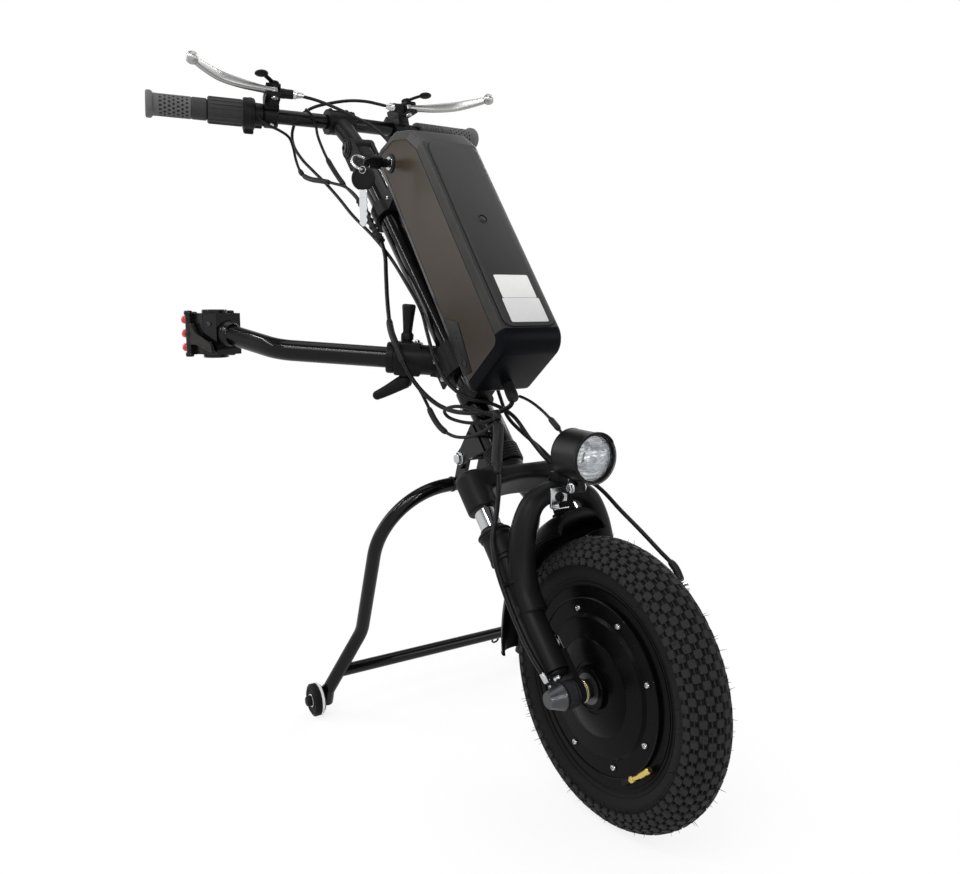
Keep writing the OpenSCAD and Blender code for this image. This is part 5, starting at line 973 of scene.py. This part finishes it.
# Shares of the lever's length and reach, then its half width as a share of 8 mm and its half height
LEVER_ROWS = ((0, 0, 0.92, 4.2), (0.18, 0.07, 0.82, 4.6), (0.42, 0.2, 0.68, 6.6), (0.68, 0.42, 0.6, 7.4),
              (0.9, 0.78, 0.54, 6), (1, 1, 0.5, 4.2))
middle = smooth([(LEVER_OUT * x, 0, LEVER_LONG * z) for z, x, _, _ in LEVER_ROWS], 8)
oval = [(8 * v.x, v.y) for v in smooth([(w, t, 0) for _, _, w, t in LEVER_ROWS], 8)]
stalk = smooth([(0, LATCH_TOP - y, z) for y, z in ((2, 3), (3.4, 12), (4.2, 22), (3.4, 31))], 6)
for name, flip in SIDES:
    F = flip @ LEVER
    blade = Build().add(sweep(middle, oval, 40, (1, 0, 0), square=0.62), F)
    blade.add(ring(7.7, 3.1, -4, 4, 0.7, 40), F @ ALONG_Y)
    blade.add(ball(9, 40, 24), F @ T(LEVER_OUT, 0, LEVER_LONG) @ ALONG_Y)
    blade.make(f"lever_blade_{name}", f"lever_{name}", [ALLOY], "lever_alloy", [f"brake_lever_{name}"])
    thumb = Build().add(tube(8, 0, 4, 0.8, 36), F @ T(0, LATCH_TOP, 0) @ R("X", 90))
    turn = F @ R("Y", 50)
    thumb.add(sweep(stalk, (4, 2), 20, (1, 0, 0)), turn)
    thumb.add(ball(10.2, 36, 14, 4.2), turn @ T(0, LATCH_TOP - 3.2, 33) @ R("X", 82))
    thumb.make(f"thumb_latch_{name}", f"latch_{name}", [TRIM], "trim_plastic", [f"park_latch_{name}"])

# BATTERY: a shell lofted across its width, a raised front cover, port panel, lock and keys
CORNERS = ((14, 14, 14), (83, 24, 24), (93, 318, 14), (81.9, 345.9, 14), (55.1, 372.4, 14), (14, 386, 14))
# Shell faces wholly below this height, along the underside, wear the painted shade.
SHELL_SIDES, SHADE_TOP = 112, 26
# Places across the width, each with the outline's inset there
HALF_SHELL = [(-45, 13.6), (-44.2, 13.2), (-44.2, 12.6), (-45, 12.2), (-44.7, 11.4), (-41.9, 3.4), (-40.6, 1.4),
              (-38.6, 0.3), (-36.6, 0)]


def shell_outline(inset):
    """The side view's outline in depth and height, drawn in by an inset."""
    out = []
    for k in range(SHELL_SIDES):
        a = 2 * pi * (k + 0.5) / SHELL_SIDES
        c, s = cos(a), sin(a)
        x, z, r = max(CORNERS, key=lambda q: q[0] * c + q[1] * s + q[2])
        out.append((x + (r - inset) * c, z + (r - inset) * s))
    return out


rings = HALF_SHELL + [(-y, d) for y, d in HALF_SHELL[::-1]]
verts = [(x, y, z) for y, d in rings for x, z in shell_outline(d)]
faces = bands(len(rings), SHELL_SIDES)
side = list(range(SHELL_SIDES))
shell = Build()
# Faces wholly below the shade height wear painted shade; the rest wear the border.
shell.add((verts, faces), BATTERY, [2 if max(verts[i][2] for i in f) < SHADE_TOP else 1 for f in faces])
shell.add((verts[:SHELL_SIDES], [side]), BATTERY, 0)
shell.add((verts[-SHELL_SIDES:], [side[::-1]]), BATTERY, 0)
shell.make("battery_shell", "battery", [CASE_PAINTED_SHADE, BORDER, UNDERSIDE_SHADE], "case_brown", ["battery_case"], angle=28)

FRONT = BATTERY @ Matrix(((0, 0, 1, 0), (1, 0, 0, 0), (0, 1, 0, 0), (0, 0, 0, 1)))
BUTTON = FRONT @ T(-3, 188.6, 0)
front = Build()
front.add(plate(rounded(-37.6, 37.6, 24, 319, 12), 105.6, 107.3, 0.2), FRONT, 1)
front.add(plate(rounded(-36.2, 36.2, 25.5, 317.6, 11), 106, 109, 1.5, 4), FRONT, 0)
front.add(ring(7, 5.8, 108.6, 109.9, 0.5), BUTTON, 0)
front.add(lathe([(0, 108.4), (5.9, 108.4), (5.9, 109.05), (0, 109.15)], 36), BUTTON, 1)
front.add(lathe([(0, 108.8), (4.2, 108.8), (4.2, 109.3), (3.6, 109.6), (0, 109.7)], 32), BUTTON, 0)
front.add(plate(rounded(-24, 25, 65.5, 100, 2), 108.8, 109.25, 0.12), FRONT, 2)
front.add(plate(rounded(-26, 27, 30, 65, 2), 108.8, 109.3, 0.12), FRONT, 3)
front.make("battery_front", "battery", [COVER, TRIM, WHITE, PALE], "cover_grey", ["battery_cover"])

NEAR = BATTERY @ R("X", 90)
CHARGE_LIGHTS = 5
port = Build().add(plate([(9, 24), (26.5, 18), (38, 84), (16, 107), (9, 71)], 44.4, 45.9, 0.5), NEAR, 0)
for k in range(CHARGE_LIGHTS):
    port.add(lathe([(0, 45.5), (1.6, 45.5), (1.6, 46.1), (1.2, 46.4), (0, 46.4)], 16),
             NEAR @ T(17 + 2.4 * k, 50 + 7 * k, 0), 1)
port.add(ring(6.2, 4.4, 45.2, 46.6), NEAR @ T(19, 36, 0), 0)
port.add(lathe([(0, 45.2), (4.4, 45.2), (4.4, 46), (0, 46.3)], 28), NEAR @ T(19, 36, 0), 1)
# A black bezel round the lock, also standing in for the painted shadow around it.
port.add(ring(12.8, 9.1, -0.6, 1.8, 0.8), LOCK, 0)
port.add(ring(9.05, 5.4, 2.9, 3.5, 0.3), LOCK, 2)
port.make("battery_ports", "battery", [TRIM, PLUG, CHROME], "trim_plastic")

KEY_EYE, RING_R = 34.5, 12.5
RING = LOCK @ T(0, 0, KEY_EYE) @ R("X", 20) @ T(0, 0, RING_R)
SPARE = RING @ R("X", -20) @ T(0, -RING_R, 0) @ R("X", -90) @ R("Y", 38.6) @ R("Z", -45)
KEY_HEAD = [(0, -2.2), (14.6, -2.2), (16, -1.2), (16, 1.2), (14.6, 2.2), (12.6, 2.2), (12.2, 1.7), (0, 1.7)]
TEETH = [(-5.6, -24), (5.6, -24), (5.6, -35), (4.2, -38), (5.6, -41), (4.4, -45), (5.6, -48), (3.8, -52), (5, -56),
         (3.4, -61), (4.6, -65), (2.2, -71), (-1.8, -72.5), (-5.6, -69)]
key = Build().add(lathe([(0, 3.2), (4.6, 3.2), (5.6, 5), (5.6, 13), (0, 13)], 28), LOCK)
key.add(plate(rounded(-9.6, 9.6, 11, 40, 9.4, 10), -3.1, 3.1, 1.4, 3), LOCK @ R("X", 90))
key.add(ring(4.4, 2.9, -3.3, 3.3), LOCK @ T(0, 0, KEY_EYE) @ R("X", 90))
key.make("key_head", "key", [TRIM], "key_black", ["ignition_key"])
spare = Build().add(torus(RING_R, 1.1, 56, 12), RING @ ALONG_X, 0)
spare.add(torus(12.3, 0.9, 56, 12), RING @ ALONG_X @ T(0, 0, 1.5), 0)
spare.add(lathe(KEY_HEAD, 56), SPARE @ T(0, 0, -10.5) @ ALONG_X, 1)
spare.add(ring(4.9, 4, -2.7, 2.7, 0.3), SPARE @ ALONG_X, 0)
spare.add(plate(TEETH, -1.2, 1.2, 0.25), SPARE @ R("Z", 90) @ R("X", 90), 2)
spare.add(block((-1.9, 1.9), (-5.2, 5.2), (-35, -24), 0.6), SPARE, 2)
spare.make("spare_key_set", "spare", [CHROME, TRIM, SPARK], "zinc_steel", ["spare_key"])

# ARMS: capped bolts, rims, cam levers, handles and wing levers
CAP_PITCH, LOCK_OUT = 19.72, 25.6
RIM = [(13.3, 28.4), (16.8, 28.4), (17.7, 29.2), (17.7, 33.1), (16.9, 34), (14, 34), (13.3, 33.3)]
RED_CAP = [(0, 3.9), (5.2, 3.9), (5.8, 4.6), (6, 8.4), (5.9, 11.4), (5.2, 13.2), (3.6, 14.4), (0, 14.9)]
CAM_PIN = [(0, 26.4), (5.4, 26.4), (6, 27.2), (6, 31), (5, 32.5), (0, 33)]
EYE_PIN = [(0, 26.4), (4.6, 26.4), (5, 27), (5, 29.4), (4, 30.6), (0, 31)]
HINGE_PIN = [(0, 28.2), (5.4, 28.2), (5.8, 28.9), (5.8, 31), (4.6, 32.4), (0, 32.8)]
FLARE = [(14.2, -38), (15.6, -37), (18, -32.5), (19.4, -28), (19.4, -26.2), (14.2, -26.2)]
CAM_BOSS = [(0, 2.4), (2.9, 2.4), (3.4, 3), (3.4, 4.2), (2.8, 4.8), (1.6, 4.8), (1.6, 3.6), (0, 3.6)]
CAM_LINES = ([(-7.5, 13.5), (-15.5, 1), (-44.5, -13), (-49, -24.5)], [(-16, -13.6), (-33, -19), (-49, -24.5)])
HANDLE = [(0, 0), (7.8, 0), (8.6, 0.8), (8.6, 7.2), (7.6, 8.8), (6.4, 9.6), (6.2, 12), (7.2, 24), (9.2, 43.4),
          (9.3, 45.4), (8.4, 47.3), (6.4, 48), (5.6, 47.2), (0, 47.2)]
WING_HUB = [(0, 0), (9.4, 0), (10, 0.8), (10, 8), (8.6, 11.2), (5, 12), (0, 12)]
wing_line = smooth([(0, 1, 4.5), (0, -11, 12), (0, -24, 20.2), (0, -37, 27.5)], 6)
last = len(wing_line) - 1
wing_size = [(6.0 - 0.8 * k / last, 10.4 - 4.2 * k / last) for k in range(last + 1)]
for name, flip in SIDES:
    F, A = flip @ CLAMP, flip @ ARM
    P = F @ T(24, 26.8, 0)
    caps, fixed, cam_ribs = Build(), Build(), Build()
    for i in (-1, 0, 1):
        at = F @ T(37, 12, i * CAP_PITCH) @ ALONG_Y
        caps.add(ring(6.6, 3.6, -0.2, 0.9), at, 1)
        caps.add(hexagon(5.4, 0.8, 4.4), at, 1)
        caps.add(lathe(RED_CAP, 36), at, 0)
    for end in ENDS:
        caps.add(sector(RIM, -88.5, 88.5), F @ end, 2)
        caps.add(lathe(CAM_PIN, 32), P @ end, 2)
        caps.add(lathe(EYE_PIN, 32), F @ T(35, 8, 0) @ end, 2)
        fixed.add(sector(RIM, 91.5, 268.5), F @ end, 0)
        fixed.add(lathe(HINGE_PIN, 32), F @ T(0, -28.5, 0) @ end, 0)
    caps.make(f"bolt_caps_{name}", f"jaw_{name}", [RED, ZINC, JAW], "jaw_black")
    fixed.add(lathe(FLARE, 56, True), F @ ALONG_X, 0)
    for z in (14, -14):
        fixed.add(screw(3.4, 2.4), F @ T(-14, 22, z) @ R("X", -90), 1)
    fixed.make(f"clamp_screws_{name}", f"arm_{name}_body", [JAW, GUNMETAL], "zinc_steel")
    cam_ribs.add(lathe(CAM_BOSS, 36), P @ ALONG_Y)
    for line in CAM_LINES:
        cam_ribs.add(sweep(smooth([(x, 2.7, z) for x, z in line], 5), 1.1, 10), P)
    cam_ribs.make(f"cam_ribs_{name}", f"clamp_lever_{name}_body", [CAM], "jaw_black")
    handle = Build().add(lathe(HANDLE, 44), A @ T(0, -LOCK_OUT, LOCK_S) @ R("X", 90))
    handle.make(f"handle_{name}", f"lock_{name}", [TRIM], "trim_plastic", [f"lock_handle_{name}"])
    W = A @ T(0, LOCK_OUT, LOCK_S) @ R("X", -90)
    wing = Build().add(lathe(WING_HUB, 40), W, 0)
    wing.add(sweep(wing_line, wing_size, 28, (1, 0, 0), square=0.8), W, 0)
    wing.add(ball(6.4, 28, 16), W @ T(0, -36.6, 27.2) @ Matrix.Diagonal((0.82, 1, 1, 1)), 0)
    wing.add(hexagon(4.4, 11.5, 14), W, 1)
    wing.make(f"wing_{name}", f"wing_{name}", [TRIM, ZINC], "trim_plastic", [f"wing_knob_{name}"])

# STAND: pivot bolts, axle caps and the wheels' bands
DROP, WHEEL_Y = 363.17, 174.39
AXLE_CAP = [(0, 14.2), (7, 14.2), (7.4, 15), (7.4, 18.4), (6.2, 21), (3.4, 22), (0, 22.2)]
OUTER_LIP = [(15.2, 13.6), (18.6, 13.6), (18.8, 14.2), (18.4, 14.5), (15.4, 14.5), (15, 14.2)]
INNER_LIP = [(15.2, 0.4), (18.6, 0.4), (18.8, -0.2), (18.4, -0.4), (15.4, -0.4), (15, -0.2)]
for name, flip in SIDES:
    S = flip @ STAND
    at = S @ T(0, WHEEL_Y, -DROP) @ ALONG_Y
    bolts = Build().add(lathe(AXLE_CAP, 32), at, 2)
    bolts.add(ring(9, 4, 14.1, 15), at, 0)
    if name == "left":
        bolts.add(torus(5.2, 1.5, 32, 10), S @ T(0, 108, 42 - DROP - 12.4) @ ALONG_X, 1)
    bolts.add(ring(10.2, 8.9, -1, 3, 0.8), S @ T(0, 0, -38) @ R("X", -90) @ T(0, 0, 27), 1)
    bolts.make(f"stand_bolts_{name}", "stand", [ZINC, GLOSS, TRIM], "zinc_steel")
    band = Build().add(ring(22.3, 20.4, 2.6, 6.2, 0.4, 64), at, 0)
    for lip in (OUTER_LIP, INNER_LIP):
        band.add(lathe(lip, 56, True), at, 1)
    band.add(ring(12.6, 5, 13.2, 14.4), at, 1)
    for k in range(3):
        band.add(torus(21.75, 0.5, 56, 8), at @ T(0, 0, 7.8 + 2.2 * k), 1)
    band.make(f"stand_wheel_band_{name}", f"stand_wheel_{name}_body", [WHITE, RUBBER], "wheel_plastic")
